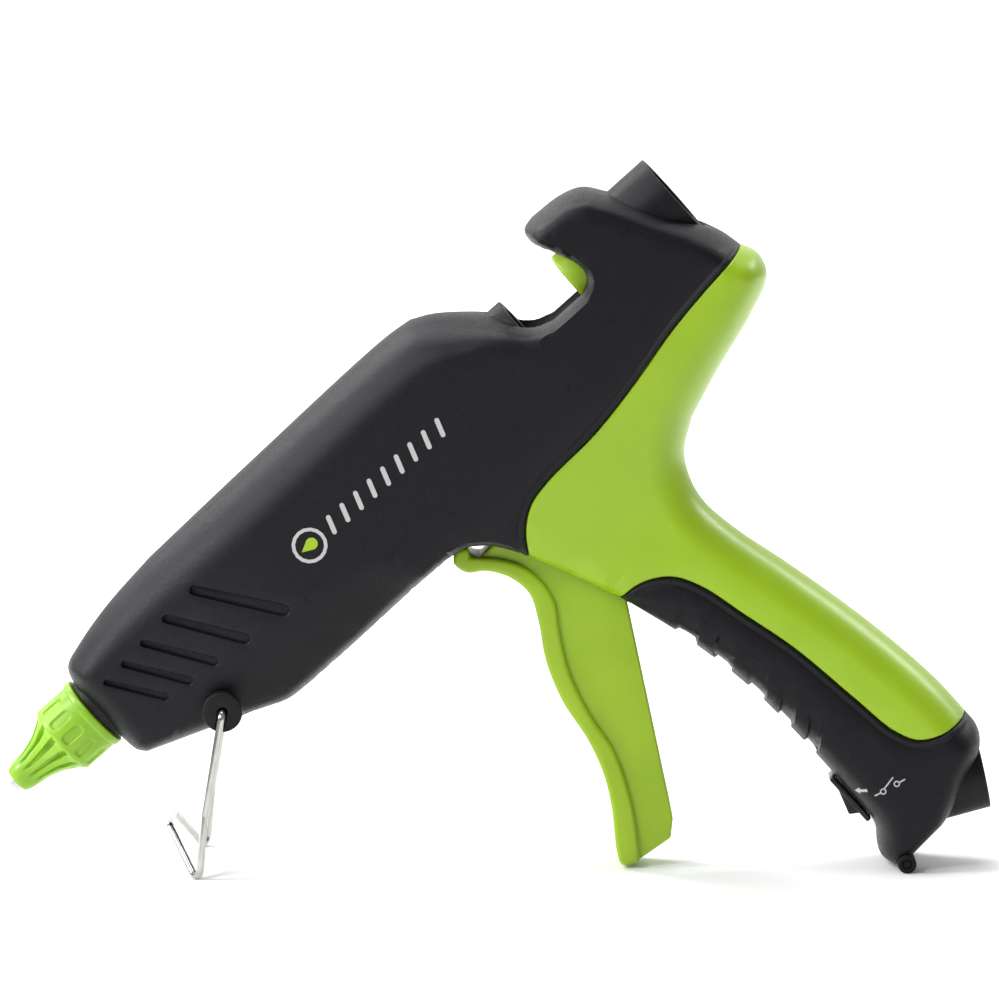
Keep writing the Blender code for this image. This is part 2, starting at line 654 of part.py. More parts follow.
def barrel_tools(slot):
    """Everything that is cut through a barrel shell beside its cavity."""
    deep = 40 * MM
    tools = [
        slot,
        bore_tool("nose_bore", (20 * MM, 0, 0), (46 * MM, 0, 0), COLLAR_RADIUS + GAP, 24),
        bore_tool("chamber_bore", (45 * MM, 0, 0), (135 * MM, 0, 0), CHAMBER_RADIUS + GAP),
        bore_tool("bay_bore", (190 * MM, 0, 0), (GUIDE_START + 1 * MM, 0, 0), SLEEVE_RADIUS + GAP, 24),
        bore_tool("guide_bore", (258 * MM, 0, 0), (300 * MM, 0, 0), GUIDE_RADIUS + GAP, 24),
        bore_tool("stand_hole", *across(STAND_PIVOT.x, STAND_PIVOT.z, -deep, deep), STAND_STEM_RADIUS + GAP,
                  16),
        cutter("hook_notch", box_mesh("hook_notch", (149.2 * MM, -PLATE_HALF_WIDTH - 2 * GAP, -50 * MM),
                                      (159 * MM, PLATE_HALF_WIDTH + 2 * GAP, -36.3 * MM))),
    ]
    for side in (-1, 1):
        low, high = sorted((side * (LINK_Y - 2 * GAP), side * (LINK_Y + LINK_THICKNESS + 2 * GAP)))
        reach = LINK_HALF_HEIGHT + 2 * GAP
        channel = box_mesh("link_channel", (170 * MM, low, ARM_PIN.z - reach),
                           (256 * MM, high, ARM_PIN.z + reach))
        tools.append(cutter(f"link_channel_{side}", channel))
    for index, (start, end, start_radius, end_radius) in enumerate(VENTS, start=1):
        vent = in_metres(capsule(start, end, start_radius, end_radius, arc_steps=2))
        for side in (-1, 1):
            low, high = sorted((side * 9 * MM, side * deep))
            tools.append(cutter(f"vent_{index}_{side}", slab_mesh("vent", vent, low, high)))
    return tools


def casing():
    """The six shells of the casing and everything cut through them."""
    deep = 40 * MM
    slot_outline = in_metres([(158, -36), (166, -36), (182, -52), (192, -78), (196, -108), (182, -108),
                              (174, -84),
                              (160, -56)])
    slot_half = WEB_HALF_WIDTH + 0.8 * MM
    slot = cutter("trigger_slot", slab_mesh("trigger_slot", slot_outline, -slot_half, slot_half))
    pin_half = PIVOT_PIN_HALF_LENGTH + GAP
    pin_hole = bore_tool("pin_hole", *across(TRIGGER_PIVOT.x, TRIGGER_PIVOT.z, -pin_half, pin_half),
                         PIVOT_PIN_RADIUS + GAP, 16)
    foot_groove = bore_tool("foot_groove", *across(FOOT_ROD_X, FOOT_ROD_Z, -deep, deep),
                            FOOT_ROD_RADIUS + GAP, 20)
    half_width, half_height = SWITCH_BODY_HALF_WIDTH + GAP, SWITCH_BODY_HALF_HEIGHT + GAP
    window = box_mesh("switch_window", (180 * MM, -half_width, SWITCH_CENTRE.z - half_height),
                      (200 * MM, half_width, SWITCH_CENTRE.z + half_height))
    seat_half = BEZEL_HALF_WIDTH + GAP
    seat = box_mesh("bezel_seat", (180 * MM, -seat_half, SWITCH_CENTRE.z - BEZEL_HALF_HEIGHT - GAP),
                    (SWITCH_CENTRE.x + BEZEL_BACK + GAP, seat_half,
                     SWITCH_CENTRE.z + BEZEL_HALF_HEIGHT + GAP))
    socket_end = SOCKET_FACE + SOCKET_AXIS * 12 * MM
    socket_root = SOCKET_FACE - SOCKET_AXIS * (SOCKET_LENGTH + GAP)
    tools = {
        "barrel": barrel_tools(slot),
        "grip": [slot, pin_hole],
        "handle": [slot, foot_groove, cutter("switch_window", window), cutter("bezel_seat", seat),
                   bore_tool("socket_hole", socket_root, socket_end, SOCKET_ROOT_RADIUS + GAP, 24)],
    }
    finish = {"barrel": "black_housing", "grip": "green_housing", "handle": "black_housing"}
    screw_tools = fasteners()
    outlines = region_outlines()
    for side, side_name in ((-1, "left"), (1, "right")):
        cavity = hollow(side)
        for region, outline in outlines.items():
            shell = part(f"{region}_shell_{side_name}", side_mesh(region, outline, side * SEAM / 2, side),
                         finish[region])
            cut(shell, cavity, *tools[region], *screw_tools[region, side])
            merge_flats(shell)


def fasteners():
    """Screws through posts: counterbored on the right side, driven into the left. Gives the holes' tools."""
    tools = {(region, side): [] for region in ("barrel", "grip", "handle") for side in (-1, 1)}
    head, shank = to_mm(SCREW_HEAD_RADIUS), to_mm(SCREW_SHANK_RADIUS)
    profile = [(21.5, 0), (20, shank), (2, shank), (2, head * 0.7), (1.2, head), (0, head), (0, 0)]
    for index, (x, z) in enumerate(SCREWS, start=1):
        region = "barrel" if z > -35 else "grip" if z > -150 else "handle"
        x, z = x * MM, z * MM
        shank_hole = bore_tool(f"shank_hole_{index}", *across(x, z, -14 * MM, SCREW_SEAT_Y + 1 * MM),
                               SCREW_SHANK_RADIUS + GAP, 8)
        counterbore = bore_tool(f"counterbore_{index}", *across(x, z, SCREW_SEAT_Y, 40 * MM),
                                SCREW_HEAD_RADIUS + GAP, 10)
        tools[region, -1].append(shank_hole)
        tools[region, 1] += [shank_hole, counterbore]
        start = (x, SCREW_SEAT_Y + 2.3 * MM, z)
        turned(f"shell_screw_{index}", profile, "zinc_steel", start, (0, -1, 0), sides=10)
    return tools


# ---- hot end ---------------------------------------------------------------
def tube_profile(*stations, bore):
    """Closed profile: outer side from the far end back to the start, then the bore."""
    return [*stations[::-1], *bore]


def hot_end():
    axis = (1, 0, 0)
    length, radius = to_mm(NOZZLE_LENGTH), to_mm(NOZZLE_RADIUS)
    tip, orifice = to_mm(TIP_RADIUS), to_mm(ORIFICE_RADIUS)
    outer = [(0, tip - 0.6), (0.6, tip), (2.2, tip), (6, tip + 0.6), (22, radius), (length, radius)]
    bore = [(0, orifice), (4, orifice), (10, 3), (length, 3)]
    turned("nozzle_tip", tube_profile(*outer, bore=bore), "nozzle_brass", (0, 0, 0), axis)

    gap = to_mm(GAP)
    boot, lip, end = to_mm(BOOT_RADIUS), to_mm(BOOT_LIP_RADIUS), to_mm(BOOT_END)
    outer = [(2.2, 4), (5, 5), (10, 5.6), (15, 7.1), (20, 10), (22, boot), (32.8, boot), (33, lip),
             (end, lip)]
    bore = [(2.2, tip + gap), (6, tip + 0.6 + gap + 0.05), (22, radius + gap), (end, radius + gap)]
    turned("nozzle_boot", tube_profile(*outer, bore=bore), "green_silicone", (0, 0, 0), axis, sides=24)

    collar, chamber = to_mm(COLLAR_RADIUS), to_mm(CHAMBER_RADIUS)
    outer = [(0, collar), (9, collar)]
    bore = [(0, radius + gap), (2.5, radius + gap), (2.5, chamber + gap), (9, chamber + gap)]
    start = (BOOT_END + GAP, 0, 0)
    turned("nozzle_collar", tube_profile(*outer, bore=bore), "black_silicone", start, axis, sides=24)

    stick, spigot = to_mm(STICK_BORE), to_mm(SPIGOT_RADIUS)
    chamber_end = to_mm(CHAMBER_END)
    spigot_start = chamber_end - to_mm(SPIGOT_LENGTH)
    begin = length + gap
    outer = [(begin, radius), (39, radius), (39, chamber), (spigot_start, chamber), (spigot_start, spigot),
             (chamber_end, spigot)]
    bore = [(begin, 3), (44, 3), (56, stick), (chamber_end, stick)]
    chamber_part = turned("melt_chamber", tube_profile(*outer, bore=bore), "cast_aluminium", (0, 0, 0), axis)

    heater_start = 62 * MM
    heater_end = heater_start + HEATER_LENGTH
    seat_z = -CHAMBER_RADIUS - 3.6 * MM
    seat = box_mesh("heater_seat", (heater_start - 2 * MM, -HEATER_HALF_WIDTH - 1 * MM, seat_z),
                    (heater_end + 2 * MM, HEATER_HALF_WIDTH + 1 * MM, -STICK_BORE - 1.6 * MM))
    join(chamber_part, cutter("heater_seat", seat))
    top = seat_z - GAP
    element = box_mesh("heater", (heater_start, -HEATER_HALF_WIDTH, top - HEATER_THICKNESS),
                       (heater_end, HEATER_HALF_WIDTH, top))
    part("heater_element", element, "ceramic")
    heater_clip(heater_start + HEATER_LENGTH / 2, top - HEATER_THICKNESS - GAP)
    fuse = rod_mesh("fuse", (116 * MM, 0, -CHAMBER_RADIUS - 2.6 * MM),
                    (127 * MM, 0, -CHAMBER_RADIUS - 2.6 * MM), 2 * MM,
                    sides=16)
    part("thermal_fuse", fuse, "zinc_steel")

    sleeve, sleeve_end = to_mm(SLEEVE_RADIUS), to_mm(SLEEVE_END)
    sleeve_start = spigot_start + gap
    outer = [(sleeve_start, sleeve), (sleeve_end, sleeve)]
    bore = [(sleeve_start, spigot + gap), (chamber_end + gap, spigot + gap), (chamber_end + gap, stick),
            (sleeve_end - 3, stick), (sleeve_end, stick + 2)]
    turned("inlet_sleeve", tube_profile(*outer, bore=bore), "black_silicone", (0, 0, 0), axis)
    band = [(139, sleeve + gap + 0.8), (145, sleeve + gap + 0.8)]
    turned("sleeve_clamp", tube_profile(*band, bore=[(139, sleeve + gap), (145, sleeve + gap)]), "zinc_steel",
           (0, 0, 0), axis)


def heater_clip(middle_x, bottom_z):
    """Spring-steel strap that holds the heater against the chamber: a bent strip, thickened inwards."""
    half_width, strip, arm = 4 * MM, 0.8 * MM, HEATER_HALF_WIDTH + 1 * MM + GAP + 0.8 * MM
    reach = CHAMBER_RADIUS + GAP + strip
    path = [(-arm, -6 * MM), (-arm, bottom_z - strip), (arm, bottom_z - strip), (arm, -6 * MM)]
    over = [(reach * cos(a), reach * sin(a)) for a in np.linspace(radians(-18), radians(38), 6)]
    section = [(-y, z) for y, z in over[::-1]] + path + over
    bm = bmesh.new()
    ends = (middle_x - half_width, middle_x + half_width)
    rows = [[bm.verts.new((x, y, z)) for y, z in section] for x in ends]
    for i in range(len(section) - 1):
        bm.faces.new((rows[0][i], rows[1][i], rows[1][i + 1], rows[0][i + 1]))
    bmesh.ops.recalc_face_normals(bm, faces=bm.faces)
    clip = part("heater_clip", mesh_from(bm, "heater_clip"), "zinc_steel")
    thicken = clip.modifiers.new("Strip", "SOLIDIFY")
    thicken.thickness = strip
    thicken.offset = 0
    thicken.use_even_offset = True


def rear_guide():
    start, end = to_mm(GUIDE_START), to_mm(GUIDE_END)
    outer_radius, mouth, stick = to_mm(GUIDE_RADIUS), to_mm(GUIDE_MOUTH_RADIUS), to_mm(STICK_BORE)
    outer = [(start, outer_radius), (end, outer_radius)]
    bore = [(start, stick + 0.4), (start + 6, stick + 0.4), (start + 11, mouth - 2), (end - 2, mouth),
            (end, mouth)]
    turned("rear_stick_guide", tube_profile(*outer, bore=bore), "black_housing", (0, 0, 0), (1, 0, 0),
           sides=24)


# ---- feed mechanism --------------------------------------------------------
def trigger_assembly():
    axis = pivot_empty("trigger_axis", TRIGGER_PIVOT)
    pivot_x, pivot_z = TRIGGER_PIVOT.x, TRIGGER_PIVOT.z
    front = smooth(in_metres(FINGER_FRONT), 8 * MM)
    back = smooth(in_metres(FINGER_BACK), 8 * MM)
    plate = loop(front, back)
    trigger = part("trigger", slab_mesh("trigger", plate, -PLATE_HALF_WIDTH, PLATE_HALF_WIDTH),
                   "green_moving")
    rounding = trigger.modifiers.new("Rounding", "BEVEL")
    rounding.width = 1.6 * MM
    rounding.segments = 1
    rounding.limit_method = "ANGLE"
    rounding.angle_limit = radians(50)

    inset_back = shifted(back, 1.5 * MM)
    pivot_side = [(pivot_x - 6 * MM, pivot_z + 3 * MM), (pivot_x + 6 * MM, pivot_z)]
    web_rear = in_metres([WEB_TOP, *WEB_BACK[::-1]])
    web = loop(inset_back[:-1], pivot_side, web_rear)
    added = [cutter("web", slab_mesh("web", web, -WEB_HALF_WIDTH, WEB_HALF_WIDTH))]
    for side in (-1, 1):
        ends = across(pivot_x, pivot_z, side * 6.3 * MM, side * ARM_OUTER)
        added.append(cutter(f"yoke_boss_{side}", rod_mesh("yoke_boss", *ends, PIVOT_BOSS_RADIUS)))
        arm = capsule((pivot_x, pivot_z), (ARM_PIN.x, ARM_PIN.z), 5 * MM, 3.8 * MM)
        low, high = sorted((side * ARM_INNER, side * ARM_OUTER))
        added.append(cutter(f"arm_{side}", slab_mesh("arm", arm, low, high)))
        ends = across(ARM_PIN.x, ARM_PIN.z, side * (ARM_OUTER - 1 * MM), side * (LINK_Y + 3 * MM))
        added.append(cutter(f"arm_pin_{side}", rod_mesh("arm_pin", *ends, ARM_PIN_RADIUS, sides=14)))
    join(trigger, *added)
    pocket_front = [(x + 2 * MM, z) for x, z in back if z > -138 * MM and z < -50 * MM]
    pocket = loop(pocket_front, [(pivot_x - 7.5 * MM, pivot_z + 6 * MM),
                                 (pivot_x + 30 * MM, pivot_z + 6 * MM),
                                 (pivot_x + 30 * MM, pivot_z - 20 * MM)], in_metres([(149, -141.5)]))
    half = WEB_POCKET_HALF_WIDTH
    pocket_tool = cutter("web_pocket", slab_mesh("pocket", pocket, -half, half))
    hole = bore_tool("pivot_hole", *across(pivot_x, pivot_z, -30 * MM, 30 * MM), PIVOT_PIN_RADIUS + GAP, 16)
    cut(trigger, pocket_tool, hole)
    merge_flats(trigger)
    hang(trigger, axis)

    pin_ends = across(pivot_x, pivot_z, -PIVOT_PIN_HALF_LENGTH, PIVOT_PIN_HALF_LENGTH)
    part("trigger_pin", rod_mesh("trigger_pin", *pin_ends, PIVOT_PIN_RADIUS, sides=16), "zinc_steel")
    hang(return_spring(), axis)


def return_spring():
    """Torsion spring round the trigger pin: a helix with one leg on the web and one on the casing's side."""
    coil_radius, wire, turns, steps = 4.2 * MM, 0.5 * MM, 4, 10
    half = 3.4 * MM
    points = []
    for i in range(turns * steps + 1):
        angle = radians(-60) + 2 * pi * i / steps
        y = -half + 2 * half * i / (turns * steps)
        points.append((TRIGGER_PIVOT.x + coil_radius * cos(angle), y,
                       TRIGGER_PIVOT.z + coil_radius * sin(angle)))
    first, last = Vector(points[0]), Vector(points[-1])
    leg = 13 * MM
    points.insert(0, tuple(first + leg * Vector((-0.85, 0, -0.5))))
    points.append(tuple(last + leg * Vector((0.86, 0, 0.5))))
    return part("return_spring", tube_path("return_spring", points, wire, 1), "zinc_steel")


def feed_carriage():
    slide = pivot_empty("carriage_slide", (CARRIAGE_FRONT, 0, 0))
    front, back = to_mm(CARRIAGE_FRONT), to_mm(CARRIAGE_FRONT + CARRIAGE_LENGTH)
    radius, bore_radius = to_mm(CARRIAGE_RADIUS), to_mm(STICK_BORE)
    outer = [(front, radius - 0.8), (front + 0.8, radius), (back, radius)]
    bore = [(front, bore_radius + 1), (front + 1.5, bore_radius), (back, bore_radius)]
    carriage = turned("carriage", tube_profile(*outer, bore=bore), "green_moving", (0, 0, 0), (1, 0, 0))
    stud = LINK_STUD
    wing_half = 5.5 * MM
    added = []
    for side in (-1, 1):
        low, high = sorted((side * 7.5 * MM, side * (ARM_OUTER - 0.1 * MM)))
        wing = box_mesh("wing", (stud.x - wing_half, low, stud.z - 3 * MM),
                        (stud.x + wing_half, high, stud.z + 3.6 * MM))
        added.append(cutter(f"wing_{side}", wing))
        ends = across(stud.x, stud.z, side * (ARM_OUTER - 1 * MM), side * (LINK_Y + 3 * MM))
        added.append(cutter(f"stud_{side}", rod_mesh("stud", *ends, ARM_PIN_RADIUS, sides=14)))
    jaw_pivot = Vector((CARRIAGE_FRONT + 16 * MM, 0, -15 * MM))
    cheek = 5.2 * MM
    cheeks = box_mesh("cheeks", (jaw_pivot.x - 3.4 * MM, -cheek, jaw_pivot.z - 3.4 * MM),
                      (jaw_pivot.x + 3.4 * MM, cheek, -STICK_BORE - 1.5 * MM))
    join(carriage, *added, cutter("jaw_cheeks", cheeks))
    half_slot = 2.7 * MM
    slot = box_mesh("jaw_slot", (CARRIAGE_FRONT + 5 * MM, -half_slot, -30 * MM),
                    (CARRIAGE_FRONT + CARRIAGE_LENGTH + 1 * MM, half_slot, 0))
    pin_hole = bore_tool("jaw_pin_hole", *across(jaw_pivot.x, jaw_pivot.z, -10 * MM, 10 * MM),
                         JAW_PIN_RADIUS + GAP, 14)
    cut(carriage, cutter("jaw_slot", slot), pin_hole)
    carriage.modifiers.new("Triangles", "TRIANGULATE")
    hang(carriage, slide)

    mesh = rod_mesh("jaw_pin", *across(jaw_pivot.x, jaw_pivot.z, -cheek, cheek), JAW_PIN_RADIUS, sides=14)
    hang(part("jaw_pin", mesh, "zinc_steel"), slide)
    drive_links(slide)

    hinge = pivot_empty("jaw_axis", jaw_pivot)
    outline = smooth([(2.8, -1.5), (2.8, 2), (-1, 5), (-5, 8.6)], 2) + [(-7.4, 8.2), (-7.8, 6.8)]
    outline += smooth([(-7.8, 6.8), (-4, 2), (-2.8, -2), (0, -3), (2.8, -1.5)], 2)
    placed = [(jaw_pivot.x + x * MM, jaw_pivot.z + z * MM) for x, z in loop_mm(outline)]
    jaw = part("grip_jaw", slab_mesh("grip_jaw", placed, -half_slot + GAP, half_slot - GAP), "zinc_steel")
    cut(jaw, pin_hole)
    hang(jaw, hinge)


def loop_mm(points):
    return [tuple(value / MM for value in point) for point in loop(in_metres(points))]


def drive_links(slide):
    """Bars from the trigger arms' pins, in upright slots, to the carriage's studs."""
    for side, side_name in ((-1, "left"), (1, "right")):
        near, far = side * LINK_Y, side * (LINK_Y + LINK_THICKNESS)
        outline = capsule((ARM_PIN.x - 1 * MM, ARM_PIN.z), (LINK_STUD.x, LINK_STUD.z), LINK_HALF_HEIGHT,
                          LINK_HALF_HEIGHT)
        link = part(f"drive_link_{side_name}", slab_mesh("link", outline, min(near, far), max(near, far)),
                    "zinc_steel")
        rise = TRIGGER_ARM * (1 - cos(TRIGGER_SWING / 2))
        slot_radius = ARM_PIN_RADIUS + GAP
        slot = capsule((ARM_PIN.x, ARM_PIN.z - 0.1 * MM), (ARM_PIN.x, ARM_PIN.z + rise + 0.1 * MM),
                       slot_radius, slot_radius)
        slot_tool = cutter(f"link_slot_{side_name}", slab_mesh("link_slot", slot, -30 * MM, 30 * MM))
        ends = across(LINK_STUD.x, LINK_STUD.z, -30 * MM, 30 * MM)
        cut(link, slot_tool, bore_tool(f"link_eye_{side_name}", *ends, slot_radius, 14))
        hang(link, slide)


# ---- stand and foot --------------------------------------------------------
def filleted(points, radius, steps=5):
    """A wire's route with its corners bent to a radius."""
    route = [Vector(p) for p in points]
    path = [route[0]]
    for before, corner, after in zip(route, route[1:], route[2:]):
        to_before, to_after = (before - corner).normalized(), (after - corner).normalized()
        half = to_before.angle(to_after) / 2
        setback = radius / np.tan(half)
        start, end = corner + to_before * setback, corner + to_after * setback
        centre = corner + (to_before + to_after).normalized() * (radius / sin(half))
        first, last = (start - centre) / radius, (end - centre) / radius
        for i in range(steps + 1):
            path.append(centre + radius * first.slerp(last, i / steps))
    return [tuple(p) for p in [*path, route[-1]]]


def stand():
    hinge = pivot_empty("stand_axis", STAND_PIVOT)
    px, pz = STAND_PIVOT.x, STAND_PIVOT.z
    knee = (42.5 * MM, 28.2 * MM, -44.6 * MM)
    foot = (STAND_FOOT_X, STAND_FOOT_Y, STAND_FOOT_Z)
    bridge = (30.2 * MM, 12.5 * MM, -41.1 * MM)
    half = [(px, STAND_BOSS_FACE - 7 * MM, pz), (px, STAND_LEG_Y, pz), knee, foot, bridge]
    other = [(x, -y, z) for x, y, z in half]
    route = filleted(half + other[::-1], 2.3 * MM)
    wire = part("stand_wire", tube_path("stand_wire", route, STAND_WIRE_RADIUS), "chromed_wire")
    hang(wire, hinge)
    for side, side_name in ((-1, "left"), (1, "right")):
        face, seat = to_mm(STAND_BOSS_FACE), to_mm(STAND_BOSS_SEAT)
        radius, hole = to_mm(STAND_BOSS_RADIUS), to_mm(STAND_WIRE_RADIUS + GAP)
        stem = to_mm(STAND_STEM_RADIUS)
        profile = [(14, 0), (14, stem), (seat, stem), (seat, radius), (face - 0.6, radius),
                   (face, radius - 0.6),
                   (face, hole), (face - 7.6, hole), (face - 7.6, 0)]
        turned(f"stand_boss_{side_name}", profile[::-1], "black_silicone", (px, 0, pz), (0, side, 0),
               sides=18)


def rear_foot():
    ends = across(FOOT_ROD_X, FOOT_ROD_Z, -FOOT_ROD_HALF_LENGTH, FOOT_ROD_HALF_LENGTH)
    part("rear_foot", rod_mesh("rear_foot", *ends, FOOT_ROD_RADIUS, sides=20), "rubber")


# ---- switch and cord socket ------------------------------------------------
def switch():
    cx, cz = SWITCH_CENTRE.x, SWITCH_CENTRE.z
    sweep = 7.35 * MM
    frame = box_mesh("bezel", (cx + BEZEL_FRONT, -BEZEL_HALF_WIDTH, cz - BEZEL_HALF_HEIGHT),
                     (cx + BEZEL_BACK, BEZEL_HALF_WIDTH, cz + BEZEL_HALF_HEIGHT))
    bezel = part("switch_bezel", frame, "black_switch")
    window = cutter("rocker_window", box_mesh("rocker_window",
                                              (cx - 9 * MM, -ROCKER_HALF_WIDTH - GAP, cz - sweep),
                                              (cx + 9 * MM, ROCKER_HALF_WIDTH + GAP, cz + sweep)))
    cut(bezel, window)
    block = box_mesh("switch_body", (cx + BEZEL_BACK + GAP, -SWITCH_BODY_HALF_WIDTH,
                                     cz - SWITCH_BODY_HALF_HEIGHT),
                     (cx + SWITCH_BODY_DEPTH, SWITCH_BODY_HALF_WIDTH, cz + SWITCH_BODY_HALF_HEIGHT))
    body = part("switch_body", block, "black_switch")
    sweep_ends = across(cx, cz, -ROCKER_HALF_WIDTH + 0.1 * MM - GAP, ROCKER_HALF_WIDTH - 0.1 * MM + GAP)
    cut(body, cutter("rocker_sweep", rod_mesh("rocker_sweep", *sweep_ends, 7.0 * MM, sides=32)))
    blades = []
    for index, z in enumerate((-4.5 * MM, 0, 4.5 * MM)):
        low = (cx + SWITCH_BODY_DEPTH - 1 * MM, -2.4 * MM, cz + z - 0.4 * MM)
        high = (cx + BLADE_END, 2.4 * MM, cz + z + 0.4 * MM)
        blades.append(cutter(f"switch_blade_{index}", box_mesh("blade", low, high)))
    join(body, *blades)

    hinge = pivot_empty("rocker_axis", SWITCH_CENTRE)
    face = [(-2.7, 6.2), (-6, -3.7), (-3.3, -5.6)]
    back = [(5.6 * cos(a), 5.6 * sin(a)) for a in np.linspace(radians(-95), radians(95), 10)]
    outline = [(cx + x * MM, cz + z * MM) for x, z in [*face, *back]]
    half = ROCKER_HALF_WIDTH - 0.3 * MM
    rocker = part("switch_rocker", slab_mesh("switch_rocker", outline, -half, half), "black_switch")
    hang(rocker, hinge)


def cord_socket():
    depth, length = to_mm(SOCKET_DEPTH), to_mm(SOCKET_LENGTH)
    mouth, root, bore = to_mm(SOCKET_RADIUS), to_mm(SOCKET_ROOT_RADIUS), to_mm(SOCKET_BORE)
    profile = [(depth, 0), (depth, bore), (0, bore), (0, mouth), (length, root), (length, 0)]
    inward = -SOCKET_AXIS
    socket = turned("cord_inlet", profile, "black_silicone", SOCKET_FACE, inward, sides=22)
    holes = []
    for side, side_name in ((-1, "left"), (1, "right")):
        offset = Vector((0, side * 3.6 * MM, 0))
        start = SOCKET_FACE + inward * (SOCKET_DEPTH - 13 * MM) + offset
        end = SOCKET_FACE + inward * (SOCKET_LENGTH + 3 * MM) + offset
        part(f"contact_pin_{side_name}", rod_mesh("contact_pin", start, end, 1.3 * MM, sides=14),
             "nozzle_brass")
        hole = rod_mesh("contact_hole", start, end + inward * 5 * MM, 1.3 * MM + GAP, sides=14)
        holes.append(cutter(f"contact_hole_{side_name}", hole))
    cut(socket, *holes)


def leads():
    """Three sleeved wires, each whole: socket to switch, and both to the heater."""
    tail = SOCKET_FACE - SOCKET_AXIS * (SOCKET_LENGTH + 3.4 * MM + LEAD_RADIUS)
    tail_x, tail_z = to_mm(tail.x), to_mm(tail.z)
    cx, cz = to_mm(SWITCH_CENTRE.x), to_mm(SWITCH_CENTRE.z)
    blade_x = cx + to_mm(BLADE_END + GAP + LEAD_RADIUS) + 0.1
    climb = [(213.5, -150), (211.5, -120), (213, -90), (213.5, -70), (208, -52), (197, -35), (185, -24.5),
             (160, -23.5),
             (130, -22.5)]
    routes = {
        "heater_lead_live": (2.8, [(blade_x, cz + 4.5), (216, -166), *climb, (111, -15)]),
        "heater_lead_neutral": (-3.8, [(tail_x, tail_z), (tail_x + 1, tail_z + 9), (217, -168), *climb,
                                       (111, -15)]),
    }
    for name, (y, points) in routes.items():
        path = [(x, y * MM, z) for x, z in smooth(in_metres(points), 12 * MM)]
        part(name, tube_path(name, path, LEAD_RADIUS, 1), "lead_sleeve")
    points = [(tail_x, tail_z), (tail_x + 1.5, tail_z + 4), (tail_x + 3, tail_z + 7), (blade_x, cz)]
    path = [(x, 3.6 * MM, z) for x, z in smooth(in_metres(points), 4 * MM)]
    part("switch_lead", tube_path("switch_lead", path, LEAD_RADIUS, 1), "lead_sleeve")


def stand_over_origin():
    """Slide the gun along X so that the origin is under the middle of its box."""
    bpy.context.view_layer.update()
    graph = bpy.context.evaluated_depsgraph_get()
    xs = []
    for obj in PARTS.objects:
        if obj.type == "MESH":
            mesh = obj.evaluated_get(graph).to_mesh()
            xs += [(obj.matrix_world @ v.co).x for v in mesh.vertices]
    GUN.location.x -= (min(xs) + max(xs)) / 2


casing()
hot_end()
rear_guide()
trigger_assembly()
feed_carriage()
stand()
rear_foot()
switch()
cord_socket()
leads()
stand_over_origin()
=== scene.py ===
"""Looks of a hot glue gun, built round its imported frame.

Shapes are made in the gun's own frame and carried into the model's frame at the end:
  +X  back along the barrel from the nozzle's orifice,
  +Y  towards the gun's right side,
  +Z  up out of the barrel.
Outlines are lists of (x, z) points in millimetres; everything else is metres.
"""

import json
from math import atan2, ceil, cos, hypot, pi, radians, sin, tan

import bmesh
import bpy
import numpy as np
from mathutils import Matrix, Vector
from mathutils.geometry import delaunay_2d_cdt

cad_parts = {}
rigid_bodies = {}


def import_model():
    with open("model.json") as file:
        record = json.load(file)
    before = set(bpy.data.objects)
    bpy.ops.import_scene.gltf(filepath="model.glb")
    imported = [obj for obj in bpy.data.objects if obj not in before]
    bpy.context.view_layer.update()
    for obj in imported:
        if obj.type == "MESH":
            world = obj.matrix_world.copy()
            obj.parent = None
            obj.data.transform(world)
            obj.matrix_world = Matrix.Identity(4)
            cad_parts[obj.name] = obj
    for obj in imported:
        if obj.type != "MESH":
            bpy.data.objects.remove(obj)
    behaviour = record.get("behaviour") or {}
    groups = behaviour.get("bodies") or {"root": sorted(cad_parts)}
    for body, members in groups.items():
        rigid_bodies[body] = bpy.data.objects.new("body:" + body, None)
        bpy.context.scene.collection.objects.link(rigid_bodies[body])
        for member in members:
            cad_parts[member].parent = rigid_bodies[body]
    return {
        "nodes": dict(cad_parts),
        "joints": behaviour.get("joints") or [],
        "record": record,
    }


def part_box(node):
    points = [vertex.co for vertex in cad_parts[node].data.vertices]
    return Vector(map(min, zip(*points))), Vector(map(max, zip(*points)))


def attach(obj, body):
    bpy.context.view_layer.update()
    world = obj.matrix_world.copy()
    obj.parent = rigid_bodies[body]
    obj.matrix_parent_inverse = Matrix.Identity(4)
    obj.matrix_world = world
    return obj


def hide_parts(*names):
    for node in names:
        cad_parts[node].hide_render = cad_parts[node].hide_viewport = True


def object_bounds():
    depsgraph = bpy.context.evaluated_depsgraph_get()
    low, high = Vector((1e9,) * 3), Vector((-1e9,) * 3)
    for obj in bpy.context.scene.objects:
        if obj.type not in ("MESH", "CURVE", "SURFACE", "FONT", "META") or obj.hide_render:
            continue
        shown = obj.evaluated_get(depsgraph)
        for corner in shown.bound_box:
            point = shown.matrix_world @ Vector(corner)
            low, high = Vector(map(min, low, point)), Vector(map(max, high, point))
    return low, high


for leftover in list(bpy.data.objects):
    bpy.data.objects.remove(leftover)
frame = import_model()
cad_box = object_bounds()

MM = 0.001

# ---- the gun's frame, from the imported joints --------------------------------
JOINTS = {joint["name"]: joint for joint in frame["joints"]}
FEED_AXIS = Vector(JOINTS["carriage_feed"]["axis"])
LEAN = atan2(-FEED_AXIS.z, -FEED_AXIS.x)
TRIGGER_PIVOT = Vector((179 * MM, 0, -46.5 * MM))
TURN = Matrix.Rotation(-LEAN, 4, "Y")
GUN = Matrix.Translation(Vector(JOINTS["trigger_squeeze"]["pos_m"]) - TURN @ TRIGGER_PIVOT) @ TURN

